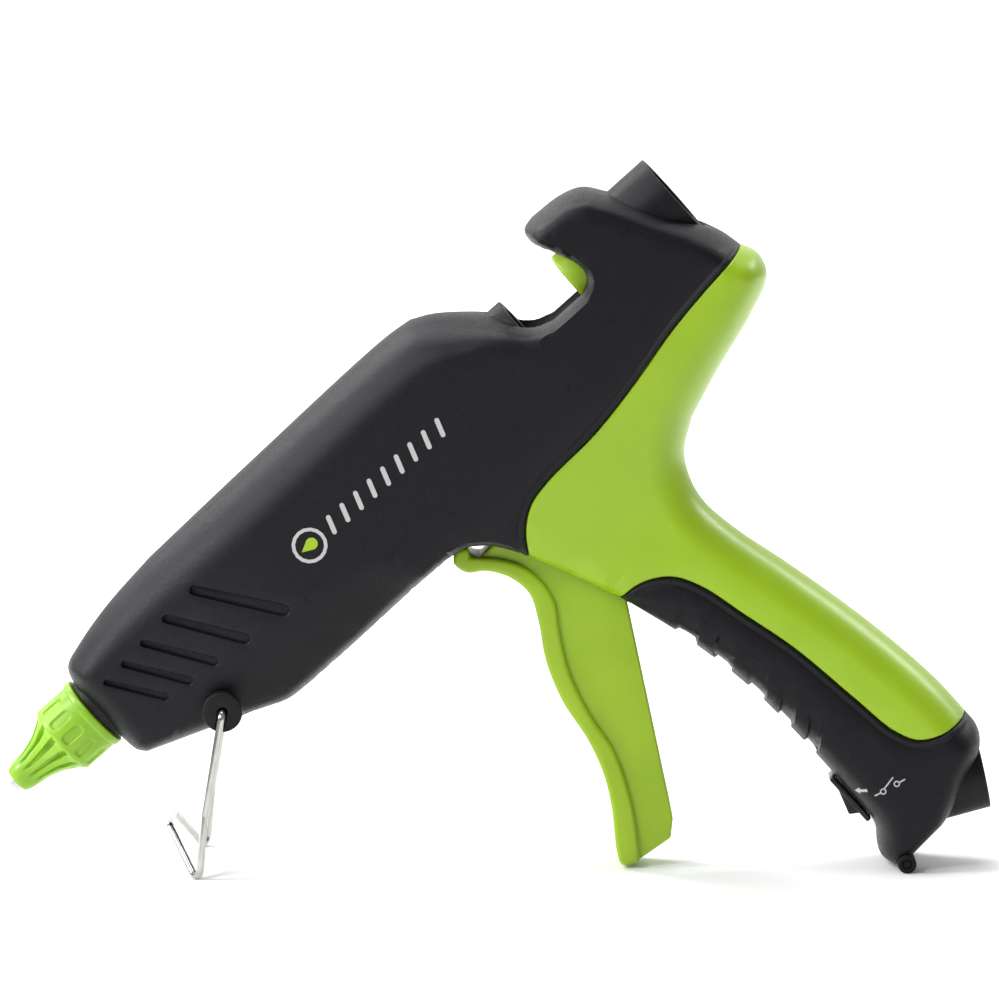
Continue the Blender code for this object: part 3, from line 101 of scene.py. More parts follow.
# ---- sizes ------------------------------------------------------------------
GAP = 0.3 * MM
WALL = 2.4 * MM
SEAM = 0.3 * MM
NOSE_HALF_WIDTH = 17 * MM
BARREL_HALF_WIDTH = 24 * MM
REAR_HALF_WIDTH = 22.5 * MM
NECK_HALF_WIDTH = 16.5 * MM
PALM_HALF_WIDTH = 18 * MM
BASE_HALF_WIDTH = 19 * MM
CREASE_SLOPE = 0.45
COLLAR_RADIUS = 11.0 * MM
CHAMBER_RADIUS = 9.0 * MM
SLEEVE_RADIUS = 11.0 * MM
GUIDE_RADIUS = 14.0 * MM
GUIDE_START = 258.5 * MM
CARRIAGE_FRONT = 235 * MM
TRIGGER_SWING = radians(18)
TRIGGER_ARM = 37 * MM
ARM_INNER = 12.6 * MM
ARM_OUTER = 15.6 * MM
ARM_PIN_RADIUS = 2.2 * MM
ARM_PIN = TRIGGER_PIVOT + TRIGGER_ARM * Vector((sin(TRIGGER_SWING / 2), 0, cos(TRIGGER_SWING / 2)))
PLATE_HALF_WIDTH = 11 * MM
WEB_HALF_WIDTH = 8.5 * MM
WEB_POCKET_HALF_WIDTH = 6 * MM
PIVOT_PIN_RADIUS = 2.0 * MM
PIVOT_PIN_HALF_LENGTH = 19.2 * MM
LINK_Y = ARM_OUTER + GAP
LINK_THICKNESS = 2.2 * MM
LINK_HALF_HEIGHT = 3.6 * MM
LINK_STUD = Vector((CARRIAGE_FRONT + 11 * MM, 0, ARM_PIN.z))
STAND_PIVOT = Vector((67.9 * MM, 0, -24.5 * MM))
STAND_WIRE_RADIUS = 1.15 * MM
STAND_STEM_RADIUS = 3.5 * MM
STAND_BOSS_RADIUS = 6.2 * MM
STAND_BOSS_FACE = 26 * MM
STAND_BOSS_SEAT = 20.9 * MM
FOOT_ROD_RADIUS = 2.9 * MM
FOOT_ROD_HALF_LENGTH = 19.4 * MM
STAND_FOOT_X = 27 * MM
STAND_FOOT_Y = 30 * MM
STAND_BEND_DROP = 2.54 * MM
STAND_LEG_Y = 27.6 * MM
STAND_BEND_RADIUS = 2.3 * MM
STAND_KNEE = (42.5 * MM, 28.2 * MM, -44.6 * MM)
STAND_BRIDGE = (30.2 * MM, 12.5 * MM, -41.1 * MM)
SWITCH_CENTRE = Vector((194.2 * MM, 0, -177.2 * MM))
SOCKET_FACE = Vector((228 * MM, 0, -199.5 * MM))
SOCKET_AXIS = Vector((cos(radians(30)), 0, -sin(radians(30))))
SOCKET_LENGTH = 22 * MM
SCREW_POST_RADIUS = 4.4 * MM
SCREW_HOLE_RADIUS = 3.1 * MM
SCREW_SEAT_Y = 8 * MM
SCREW_HEAD_Y = SCREW_SEAT_Y + 2.3 * MM
PAST_SIDES = 40 * MM
RIBS = [(56, -15), (196, -16), (260, -17.5)]
TROUGH = (210 * MM, -15.2 * MM, -13.6 * MM), (228 * MM, 15.2 * MM, 5 * MM)
SCREWS = [(62, 14.8), (92, -28.5), (160, 17.2), (206, -27), (248, 16.6), (206.5, -71), (222, -130),
          (199, -193.2)]


def height_of_rest(x, above_ground):
    """z, in the gun's frame, of a point at x that is above_ground over the bench."""
    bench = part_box("stand_wire")[0][2]
    return (bench + above_ground - GUN.translation.z - x * sin(LEAN)) / cos(LEAN)


FOOT_ROD = (192.4 * MM, height_of_rest(192.4 * MM, FOOT_ROD_RADIUS))

# ---- the casing's outline in stretches: (edge radius in mm, points) ---------
NOSE = (8, [(36.3, -12), (36.3, 10)])
NOSE_TOP = (8, [(36.3, 10), (38.5, 16), (45, 18.6), (60, 22), (80, 24.3)])
BARREL_TOP = (18, [(80, 24.3), (120, 25.4), (180, 26.2), (190, 25.2)])
BAY_SLOPE = (16, [(190, 25.2), (197, 21.5), (210, 10), (217, 0), (224, -3)])
BAY_FLOOR = (2.6, [(224, -3), (235, -3)])
HEAD_FRONT = (2.6, [(235, -3), (239.3, -0.5), (240, 4), (236.8, 12), (234.2, 18.5), (235, 22.3),
                    (239, 23.5)])
HEAD_TOP = (5, [(239, 23.5), (250, 22.7), (257, 20), (262, 13.5)])
HEAD_BACK = (5, [(262, 13.5), (270, 0), (276, -10), (280, -19), (281.5, -25.5)])
BEAK = (9, [(281.5, -25.5), (283.8, -31), (281.5, -38), (270, -43.6), (250, -50), (235, -55.5)])
PALM = (12, [(235, -55.5), (226, -62), (221.5, -70), (220, -78), (221.5, -90), (226.5, -110),
             (231, -130), (234.5, -150), (236.5, -168), (236.6, -181)])
HEEL = (11, [(236.6, -181), (236.2, -187), (232.5, -193), (222, -197.4), (213, -201.2), (208, -202.5)])
SOLE = (5, [(208, -202.5), (192, -203.5)])
TOE = (5, [(192, -203.5), (188.6, -201.9), (187.2, -197.4), (188.4, -194.2), (191.8, -189.5), (192.8, -186)])
GRIP_FRONT = (9, [(192.8, -186), (193.2, -166), (193, -150), (191.8, -130), (188.5, -110), (183, -90),
                  (180.3, -81.3)])
THROAT = (4.5, [(180.3, -81.3), (175, -69), (168.8, -54)])
THROAT_TOP = (3.5, [(168.8, -54), (166, -49), (162, -43.2), (157, -39)])
BELLY = (4, [(157, -39), (150.5, -37.7), (110, -37.9), (90, -37.8), (83, -37.2), (76, -34.4)])
CHIN = (4, [(76, -34.4), (39.5, -20.2)])
CHIN_TIP = (6, [(39.5, -20.2), (37.2, -17.5), (36.3, -12)])
STRETCHES = [NOSE, NOSE_TOP, BARREL_TOP, BAY_SLOPE, BAY_FLOOR, HEAD_FRONT, HEAD_TOP, HEAD_BACK, BEAK, PALM,
             HEEL, SOLE, TOE, GRIP_FRONT, THROAT, THROAT_TOP, BELLY, CHIN, CHIN_TIP]
UPPER_SEAM = [(281.5, -25.5), (270, -26.4), (250, -29.2), (230, -33.8), (210, -37.3), (190, -38.5),
              (181, -40.6), (174, -46), (168.8, -54)]
LOWER_SEAM = [(180.3, -81.3), (189.2, -81.9), (197.7, -86.6), (202.7, -95.1), (206.7, -110.1),
              (211.2, -128.1), (214.7, -153.1), (216.9, -168.1), (220.7, -175.6), (227.5, -179.3),
              (236.6, -181)]
CREASE = [(30, -19.5), (60, -19.7), (120, -20), (128, -21.4), (135, -26), (144.5, -38), (150, -45)]
VENTS = [((46.5, 5.5), (57, -9.8), 0.9, 1.1), ((54.5, 6), (66, -10.8), 1.0, 1.3),
         ((63.5, 7), (76, -11.5), 1.1, 1.4), ((74, 8), (88, -12.5), 1.3, 1.6),
         ((86.5, 9), (103, -13.8), 1.5, 1.8)]
FINGER_FRONT = [(157, -38.8), (153.6, -37), (150.2, -39.3), (151.2, -44.2), (156, -47.8), (160.2, -54.5),
                (161.2, -62), (157.5, -70.3), (151, -81), (146.3, -94), (144.1, -108), (140.5, -119.5),
                (135, -129.5), (127.3, -140.4), (125.8, -144.6), (130.5, -147.8)]
FINGER_BACK = [(130.5, -147.8), (141, -132), (148, -116), (150, -103), (154, -89), (160, -77.5),
               (165.6, -68.6), (166.7, -61), (165.2, -53.3), (161.5, -47.5), (155.2, -41)]
WEB_BACK = [(142.5, -148.6), (147, -144.6)]
WEB_TOP = (189.5, -70.8)
GRIP_GROOVES = [(-103, -109.5), (-116.5, -123), (-130, -136.5), (-142.5, -148.5), (-154.5, -160)]
GRIP_GROOVE_DEPTH = 1.3 * MM
GRIP_GROOVE_REACH = 9 * MM
GRIP_GROOVE_SLANT = tan(radians(42))


# ---- materials --------------------------------------------------------------
class Nodes:
    """A Principled material with short calls for its texture nodes."""

    def __init__(self, name, colour, roughness, metallic=0.0, **settings):
        self.material = bpy.data.materials.new(name)
        self.material.use_nodes = True
        self.material.diffuse_color = (*colour, 1)
        self.tree = self.material.node_tree
        self.shader = self.tree.nodes["Principled BSDF"]
        self.set(self.shader, {"Base Color": (*colour, 1), "Roughness": roughness, "Metallic": metallic})
        self.set(self.shader, settings)
        self.place = self.tree.nodes.new("ShaderNodeTexCoord").outputs["Object"]

    def set(self, node, values):
        for name, value in values.items():
            node.inputs[name.replace("_", " ")].default_value = value

    def noise(self, scale, detail=2.0, roughness=0.5, stretch=None):
        node = self.tree.nodes.new("ShaderNodeTexNoise")
        self.set(node, {"Scale": scale, "Detail": detail, "Roughness": roughness})
        source = self.place
        if stretch:
            mapping = self.tree.nodes.new("ShaderNodeMapping")
            mapping.inputs["Scale"].default_value = stretch
            self.tree.links.new(source, mapping.inputs["Vector"])
            source = mapping.outputs["Vector"]
        self.tree.links.new(source, node.inputs["Vector"])
        return node.outputs["Fac"]

    def voronoi(self, scale):
        node = self.tree.nodes.new("ShaderNodeTexVoronoi")
        self.set(node, {"Scale": scale})
        self.tree.links.new(self.place, node.inputs["Vector"])
        return node.outputs["Distance"]

    def ramp(self, source, low, high, start=0.35, end=0.65):
        node = self.tree.nodes.new("ShaderNodeValToRGB")
        node.color_ramp.elements[0].position = start
        node.color_ramp.elements[1].position = end
        node.color_ramp.elements[0].color = low
        node.color_ramp.elements[1].color = high
        self.tree.links.new(source, node.inputs["Fac"])
        return node.outputs["Color"]

    def colour(self, source, low, high, **span):
        shades = self.ramp(source, (*low, 1), (*high, 1), **span)
        self.tree.links.new(shades, self.shader.inputs["Base Color"])

    def rough(self, source, low, high, **span):
        shades = self.ramp(source, (low, low, low, 1), (high, high, high, 1), **span)
        self.tree.links.new(shades, self.shader.inputs["Roughness"])

    def bump(self, source, depth, strength=1.0):
        node = self.tree.nodes.new("ShaderNodeBump")
        node.inputs["Strength"].default_value = strength
        node.inputs["Distance"].default_value = depth
        previous = self.shader.inputs["Normal"].links
        if previous:
            self.tree.links.new(previous[0].from_socket, node.inputs["Normal"])
        self.tree.links.new(source, node.inputs["Height"])
        self.tree.links.new(node.outputs["Normal"], self.shader.inputs["Normal"])


def black_housing():
    """Fine spark-eroded texture on black moulded plastic."""
    made = Nodes("black_housing", (0.005, 0.005, 0.0075), 0.42, Specular_IOR_Level=0.22)
    made.colour(made.noise(2600, 3), (0.003, 0.003, 0.0045), (0.008, 0.008, 0.0115))
    made.rough(made.noise(1900, 3), 0.34, 0.52)
    made.bump(made.noise(2200, 4, 0.65), 0.00012)
    made.bump(made.noise(60, 2), 0.00008)
    return made.material


def green_housing():
    """Smooth satin lime plastic with a faint orange peel."""
    made = Nodes("green_housing", (0.31, 0.50, 0.008), 0.36, Subsurface_Weight=0.04, Subsurface_Scale=0.002)
    made.colour(made.noise(35, 2), (0.295, 0.48, 0.006), (0.325, 0.52, 0.011))
    made.rough(made.noise(900, 2), 0.33, 0.40)
    made.bump(made.noise(420, 2), 0.00004)
    return made.material


def green_moving():
    made = Nodes("green_moving", (0.31, 0.49, 0.008), 0.38, Subsurface_Weight=0.04, Subsurface_Scale=0.002)
    made.colour(made.noise(45, 2), (0.29, 0.47, 0.006), (0.33, 0.51, 0.011))
    made.rough(made.noise(1100, 2), 0.35, 0.43)
    made.bump(made.noise(500, 2), 0.00004)
    return made.material


def green_silicone():
    """Soft, slightly translucent silicone rubber."""
    made = Nodes("green_silicone", (0.23, 0.45, 0.012), 0.4, Subsurface_Weight=0.2, Subsurface_Scale=0.002)
    made.shader.inputs["Subsurface Radius"].default_value = (0.7, 1.0, 0.15)
    made.colour(made.noise(90, 3), (0.20, 0.41, 0.008), (0.26, 0.49, 0.016))
    made.rough(made.noise(700, 2), 0.34, 0.48)
    made.bump(made.noise(650, 3), 0.00006)
    return made.material


def black_rubber(name, roughness):
    made = Nodes(name, (0.004, 0.004, 0.005), roughness, Specular_IOR_Level=0.25)
    made.colour(made.noise(800, 2), (0.003, 0.003, 0.0035), (0.006, 0.006, 0.007))
    made.rough(made.noise(1300, 2), roughness - 0.06, roughness + 0.06)
    made.bump(made.noise(1500, 3), 0.00006)
    return made.material


def black_switch():
    made = Nodes("black_switch", (0.004, 0.004, 0.005), 0.26, Specular_IOR_Level=0.35)
    made.colour(made.noise(500, 2), (0.0035, 0.0035, 0.004), (0.006, 0.006, 0.007))
    made.rough(made.noise(300, 2), 0.22, 0.32)
    made.bump(made.noise(700, 2), 0.00002)
    return made.material


def metal(name, colour, roughness, grain, stretch=None, depth=0.00003):
    made = Nodes(name, colour, roughness, metallic=1.0)
    darker = tuple(value * 0.86 for value in colour)
    made.colour(made.noise(grain, 3, stretch=stretch), darker, colour)
    made.rough(made.noise(grain * 0.7, 2, stretch=stretch), roughness * 0.75, roughness * 1.25)
    made.bump(made.noise(grain * 1.6, 2, stretch=stretch), depth)
    return made.material


def ceramic():
    made = Nodes("ceramic", (0.8, 0.78, 0.72), 0.65)
    made.colour(made.voronoi(900), (0.74, 0.72, 0.66), (0.84, 0.82, 0.77), start=0.1, end=0.6)
    made.bump(made.noise(1200, 3), 0.00006)
    return made.material


def lead_sleeve():
    """Braided glass-fibre sleeving."""
    made = Nodes("lead_sleeve", (0.7, 0.68, 0.62), 0.7)
    made.colour(made.voronoi(1600), (0.55, 0.53, 0.48), (0.78, 0.76, 0.70), start=0.1, end=0.6)
    made.bump(made.voronoi(1600), 0.0001)
    return made.material


def marking(name, colour):
    """Thin printed ink."""
    made = Nodes(name, colour, 0.5)
    made.colour(made.noise(1500, 2), tuple(value * 0.92 for value in colour), colour)
    made.bump(made.noise(2000, 2), 0.00002)
    return made.material


FINISHES = {
    "black_housing": black_housing(),
    "green_housing": green_housing(),
    "green_moving": green_moving(),
    "green_silicone": green_silicone(),
    "black_silicone": black_rubber("black_silicone", 0.5),
    "black_switch": black_switch(),
    "cast_aluminium": metal("cast_aluminium", (0.66, 0.66, 0.67), 0.4, 300),
    "nozzle_brass": metal("nozzle_brass", (0.62, 0.5, 0.3), 0.3, 500),
    "chromed_wire": metal("chromed_wire", (0.58, 0.57, 0.55), 0.16, 250, depth=0.00001),
    "zinc_steel": metal("zinc_steel", (0.58, 0.58, 0.60), 0.32, 700),
    "ceramic": ceramic(),
    "rubber": black_rubber("rubber", 0.72),
    "lead_sleeve": lead_sleeve(),
    "marking": marking("marking", (0.50, 0.50, 0.51)),
}


# ---- mesh helpers -----------------------------------------------------------
def mesh_from(bm, name):
    mesh = bpy.data.meshes.new(name)
    bm.to_mesh(mesh)
    bm.free()
    return mesh


def temporary(mesh, collection=None):
    obj = bpy.data.objects.new("temporary", mesh)
    (collection or bpy.context.scene.collection).objects.link(obj)
    return obj


def settled(obj):
    """The object's mesh after its modifiers; the object is removed."""
    bpy.context.view_layer.update()
    mesh = bpy.data.meshes.new_from_object(obj.evaluated_get(bpy.context.evaluated_depsgraph_get()))
    bpy.data.objects.remove(obj)
    return mesh


def combined(mesh, tools, operation):
    """The mesh after one exact Boolean with a group of tool meshes."""
    group = bpy.data.collections.new("tools")
    bpy.context.scene.collection.children.link(group)
    for tool in tools:
        temporary(tool, group)
    target = temporary(mesh)
    modifier = target.modifiers.new("Boolean", "BOOLEAN")
    modifier.operation = operation
    modifier.solver = "EXACT"
    modifier.operand_type = "COLLECTION"
    modifier.collection = group
    result = settled(target)
    for obj in list(group.objects):
        bpy.data.objects.remove(obj)
    bpy.data.collections.remove(group)
    return result


def cut(mesh, *tools):
    return combined(mesh, tools, "DIFFERENCE")


def joined(mesh, *tools):
    return combined(mesh, tools, "UNION")


def bevelled(mesh, width, segments=3, angle=30):
    obj = temporary(mesh)
    modifier = obj.modifiers.new("Bevel", "BEVEL")
    modifier.width = width
    modifier.segments = segments
    modifier.limit_method = "ANGLE"
    modifier.angle_limit = radians(angle)
    modifier.harden_normals = False
    return settled(obj)


def piece(name, mesh, slot, body, *nodes, sharp=32):
    """Puts a finished mesh into the model, on its body, in place of the CAD nodes that it refines."""
    mesh.transform(GUN)
    mesh.shade_smooth()
    mesh.set_sharp_from_angle(angle=radians(sharp))
    mesh.materials.clear()
    mesh.materials.append(FINISHES[slot])
    obj = bpy.data.objects.new(name, mesh)
    bpy.context.scene.collection.objects.link(obj)
    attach(obj, body)
    if nodes:
        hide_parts(*nodes)
    return obj


def box_mesh(low, high):
    bm = bmesh.new()
    low, high = Vector(low), Vector(high)
    size = Matrix.Diagonal((*(high - low), 1))
    bmesh.ops.create_cube(bm, size=1, matrix=Matrix.Translation((low + high) / 2) @ size)
    return mesh_from(bm, "box")


def rod_mesh(start, end, radius, sides=32):
    start, end = Vector(start), Vector(end)
    way = end - start
    turn = way.to_track_quat("Z", "Y").to_matrix().to_4x4()
    bm = bmesh.new()
    bmesh.ops.create_cone(bm, cap_ends=True, segments=sides, radius1=radius, radius2=radius, depth=way.length,
                          matrix=Matrix.Translation((start + end) / 2) @ turn)
    return mesh_from(bm, "rod")


def across(x, z, low_y, high_y):
    """The two ends of a line across the gun."""
    return (x, low_y, z), (x, high_y, z)


def smooth(points, step):
    """Points along a centripetal Catmull-Rom curve through the given points."""
    if len(points) == 2:
        return list(points)
    ends = [tuple(2 * b - a for a, b in zip(points[1], points[0]))]
    ends.append(tuple(2 * b - a for a, b in zip(points[-2], points[-1])))
    chain = [Vector(p) for p in [ends[0], *points, ends[1]]]
    path = []
    for p0, p1, p2, p3 in zip(chain, chain[1:], chain[2:], chain[3:]):
        t1 = (p1 - p0).length ** 0.5
        t2 = t1 + (p2 - p1).length ** 0.5
        t3 = t2 + (p3 - p2).length ** 0.5
        count = max(2, ceil((p2 - p1).length / step))
        for i in range(count):
            t = t1 + (t2 - t1) * i / count
            a1 = p0.lerp(p1, t / t1)
            a2 = p1.lerp(p2, (t - t1) / (t2 - t1))
            a3 = p2.lerp(p3, (t - t2) / (t3 - t2))
            b1 = a1.lerp(a2, t / t2)
            b2 = a2.lerp(a3, (t - t1) / (t3 - t1))
            path.append(tuple(b1.lerp(b2, (t - t1) / (t2 - t1))))
    return path + [tuple(points[-1])]


def resampled(path, step):
    """The path with its long straight runs divided."""
    result = [path[0]]
    for start, end in zip(path, path[1:]):
        count = max(1, ceil(hypot(end[0] - start[0], end[1] - start[1]) / step))
        for i in range(1, count + 1):
            result.append(tuple(a + (b - a) * i / count for a, b in zip(start, end)))
    return result


def in_metres(points):
    return [tuple(value * MM for value in point) for point in points]


def loop(*paths):
    """Closed outline from paths laid end to end, without doubled corner points."""
    outline = []
    for path in paths:
        for point in path:
            if not outline or hypot(point[0] - outline[-1][0], point[1] - outline[-1][1]) > 0.05 * MM:
                outline.append(tuple(point))
    if hypot(outline[0][0] - outline[-1][0], outline[0][1] - outline[-1][1]) <= 0.05 * MM:
        outline.pop()
    return outline


def filled(outline):
    """Corner points and faces that fill one closed outline."""
    count = len(outline)
    edges = [(i, (i + 1) % count) for i in range(count)]
    verts, _, faces, *_ = delaunay_2d_cdt([Vector(p) for p in outline], edges, [], 1, 1e-7)
    return verts, faces


def slab_mesh(outline, low_y, high_y):
    """Flat outline, extruded across the gun."""
    verts, faces = filled(outline)
    bm = bmesh.new()
    near = [bm.verts.new((v.x, low_y, v.y)) for v in verts]
    skin = [bm.faces.new([near[i] for i in face]) for face in faces]
    moved = bmesh.ops.extrude_face_region(bm, geom=skin)
    for vert in (item for item in moved["geom"] if isinstance(item, bmesh.types.BMVert)):
        vert.co.y = high_y
    bmesh.ops.recalc_face_normals(bm, faces=bm.faces)
    bmesh.ops.dissolve_limit(bm, angle_limit=radians(0.5), verts=[], edges=[
        e for e in bm.edges if len({v.co.y for v in e.verts}) == 1])
    return mesh_from(bm, "slab")


def capsule(start, end, start_radius, end_radius, arc_steps=10):
    """Outline of a slot with round ends."""
    (x0, z0), (x1, z1) = start, end
    along = atan2(z1 - z0, x1 - x0)
    outline = []
    for (x, z), radius, turn in (((x1, z1), end_radius, -pi / 2), ((x0, z0), start_radius, pi / 2)):
        for i in range(arc_steps + 1):
            angle = along + turn + pi * i / arc_steps
            outline.append((x + radius * cos(angle), z + radius * sin(angle)))
    return outline


def circle(x, z, radius, count=28):
    angles = [2 * pi * i / count for i in range(count)]
    return [(x + radius * cos(a), z + radius * sin(a)) for a in angles]


def shifted(path, distance):
    """An open path moved sideways, to its left."""
    points = np.array(path)
    tangent = np.gradient(points, axis=0)
    normal = np.stack([-tangent[:, 1], tangent[:, 0]], axis=1) / np.linalg.norm(tangent, axis=1)[:, None]
    return [tuple(point) for point in points + distance * normal]


def turned_mesh(profile, start, towards, sides=72, radius_at=None):
    """Turned solid from a profile of (along, radius) in millimetres, outer side first, then the bore.

    radius_at(index, along, angle, radius) may carve the surface.
    """
    bm = bmesh.new()
    turn = Vector(towards).to_track_quat("Z", "Y").to_matrix().to_4x4()
    place = Matrix.Translation(start) @ turn
    rows = []
    for index, (along, radius) in enumerate(profile):
        if radius == 0:
            rows.append([bm.verts.new(place @ Vector((0, 0, along * MM)))] * sides)
            continue
        row = []
        for k in range(sides):
            angle = 2 * pi * k / sides
            r = radius_at(index, along, angle, radius) if radius_at else radius
            row.append(bm.verts.new(place @ Vector((r * MM * cos(angle), r * MM * sin(angle), along * MM))))
        rows.append(row)
    closed = min(radius for _, radius in profile) > 0
    pairs = list(zip(rows, rows[1:])) + ([(rows[-1], rows[0])] if closed else [])
    for low, high in pairs:
        for k in range(sides):
            after = (k + 1) % sides
            corners = list(dict.fromkeys((low[k], low[after], high[after], high[k])))
            if len(corners) > 2:
                bm.faces.new(corners)
    bmesh.ops.recalc_face_normals(bm, faces=bm.faces)
    return mesh_from(bm, "turned")


def rounded(profile, radius, steps=4, closed=True):
    """A profile of (along, radius) with its corners rounded, where they have room."""
    count = len(profile)
    result = []
    for i, point in enumerate(profile):
        if not closed and i in (0, count - 1):
            result.append(point)
            continue
        corner = Vector(point)
        before, after = Vector(profile[i - 1]), Vector(profile[(i + 1) % count])
        reach = min(radius, (before - corner).length * 0.45, (after - corner).length * 0.45)
        start = corner + (before - corner).normalized() * reach
        end = corner + (after - corner).normalized() * reach
        for k in range(steps + 1):
            t = k / steps
            result.append(tuple((1 - t) ** 2 * start + 2 * t * (1 - t) * corner + t * t * end))
    return result


def tube_mesh(points, radius, sides=16):
    """Round wire along a list of 3-D points, with closed ends."""
    curve = bpy.data.curves.new("wire", "CURVE")
    curve.dimensions = "3D"
    curve.bevel_depth = radius
    curve.bevel_resolution = sides // 4
    curve.use_fill_caps = True
    spline = curve.splines.new("POLY")
    spline.points.add(len(points) - 1)
    for point, place in zip(spline.points, points):
        point.co = (*place, 1)
    mesh = settled(temporary(curve))
    bm = bmesh.new()
    bm.from_mesh(mesh)
    bmesh.ops.remove_doubles(bm, verts=bm.verts, dist=0.01 * MM)
    bmesh.ops.recalc_face_normals(bm, faces=bm.faces)
    return mesh_from(bm, "wire")


# ---- the casing's surface ---------------------------------------------------
def screws_of(region):
    """The screws whose heads lie in one region's shells."""
    homes = ["barrel" if z > -35 else "grip" if z > -150 else "handle" for _, z in SCREWS]
    return [screw for screw, home in zip(SCREWS, homes) if home == region]


def silhouette(step):
    """The casing's whole outline, each point with its edge radius."""
    outline, radii = [], []
    for index, (radius, points) in enumerate(STRETCHES):
        next_radius = STRETCHES[(index + 1) % len(STRETCHES)][0]
        path = resampled(smooth(in_metres(points), step), step)
        for i, point in enumerate(path[:-1]):
            outline.append(point)
            radii.append((radius + (next_radius - radius) * i / (len(path) - 1)) * MM)
    return np.array(outline), np.array(radii)


OUTLINE_STEP = 1.8 * MM
OUTER_RIM_SHARE = 0.002
INNER_RIM_SHARE = 0.12
OUTLINE, EDGE_RADII = silhouette(OUTLINE_STEP)


def edge_distance(points, shrink=0.0):
    """Distance to the outline, and its share of the local edge radius."""
    if len(points) > 1500:
        halves = np.array_split(points, ceil(len(points) / 1500))
        parts = [edge_distance(half, shrink) for half in halves]
        return tuple(np.concatenate(column) for column in zip(*parts))
    start, end = OUTLINE, np.roll(OUTLINE, -1, axis=0)
    start_radius, end_radius = EDGE_RADII, np.roll(EDGE_RADII, -1)
    along = end - start
    offset = points[:, None, :] - start[None]
    share = np.clip((offset * along).sum(2) / (along ** 2).sum(1), 0, 1)
    distance = np.linalg.norm(offset - share[..., None] * along, axis=2)
    radius = np.maximum(start_radius + share * (end_radius - start_radius) - shrink, 0.4 * MM)
    return distance.min(axis=1), (np.maximum(distance - shrink, 0) / radius).min(axis=1)


def path_distance(points, path):
    """Distance from each point to an open path."""
    path = np.array(path)
    start, along = path[:-1], np.diff(path, axis=0)
    offset = points[:, None, :] - start[None]
    share = np.clip((offset * along).sum(2) / (along ** 2).sum(1), 0, 1)
    return np.linalg.norm(offset - share[..., None] * along, axis=2).min(axis=1)


def ease(value, low, high):
    """0 at low, 1 at high, smooth between."""
    t = np.clip((value - low) / (high - low), 0, 1)
    return t * t * (3 - 2 * t)


def side_half_width(points):
    """Half the casing's width at (x, z), before its edges are rounded."""
    x, z = points[:, 0], points[:, 1]
    barrel = NOSE_HALF_WIDTH + (BARREL_HALF_WIDTH - NOSE_HALF_WIDTH) * ease(x, 36 * MM, 112 * MM)
    barrel = barrel + (REAR_HALF_WIDTH - BARREL_HALF_WIDTH) * ease(x, 215 * MM, 285 * MM)
    grip = NECK_HALF_WIDTH + (PALM_HALF_WIDTH - NECK_HALF_WIDTH) * ease(-z, 75 * MM, 125 * MM)
    grip = grip + (BASE_HALF_WIDTH - PALM_HALF_WIDTH) * ease(-z, 150 * MM, 195 * MM)
    crease_z = np.interp(x, *np.array(CREASE).T * MM)
    barrel = barrel - CREASE_SLOPE * np.clip(crease_z - z, 0, None) * (x < CREASE[-1][0] * MM)
    return barrel + (grip - barrel) * ease(-z, 26 * MM, 72 * MM)


def side_height(points, inset=0.0, least=OUTER_RIM_SHARE):
    """Distance of the casing's side from its mid-plane, `inset` under the outer surface."""
    share = np.clip(edge_distance(points, inset)[1], least, 1)
    return (side_half_width(points) - inset) * np.sqrt(1 - (1 - share) ** 2)


def inside(points, outline):
    """Which points lie inside a closed outline."""
    x, z = points[:, 0, None], points[:, 1, None]
    (x0, z0), (x1, z1) = np.array(outline).T, np.roll(outline, -1, axis=0).T
    with np.errstate(divide="ignore", invalid="ignore"):
        crossing = (z0 > z) != (z1 > z)
        hit = x < (x1 - x0) * (z - z0) / (z1 - z0) + x0
    return (crossing & hit).sum(axis=1) % 2 == 1


class Spread:
    """Collects points that keep a distance from those already there."""

    CELL = 2 * MM

    def __init__(self):
        self.points, self.cells = [], {}

    def key(self, point):
        return int(point[0] // self.CELL), int(point[1] // self.CELL)

    def put(self, point):
        self.cells.setdefault(self.key(point), []).append(point)
        self.points.append(tuple(point))
        return len(self.points) - 1

    def offer(self, point, spacing):
        column, row = self.key(point)
        reach = ceil(spacing / self.CELL)
        for i in range(column - reach, column + reach + 1):
            for j in range(row - reach, row + reach + 1):
                for other in self.cells.get((i, j), ()):
                    if hypot(point[0] - other[0], point[1] - other[1]) < spacing:
                        return
        self.put(point)


def offset_ring(share, inset, least):
    """The outline moved in by a share of its edge radius."""
    tangent = np.roll(OUTLINE, -1, axis=0) - np.roll(OUTLINE, 1, axis=0)
    normal = np.stack([tangent[:, 1], -tangent[:, 0]], axis=1) / np.linalg.norm(tangent, axis=1)[:, None]
    reach = np.maximum(EDGE_RADII - inset, least)
    return OUTLINE + normal * (inset + share * reach)[:, None]


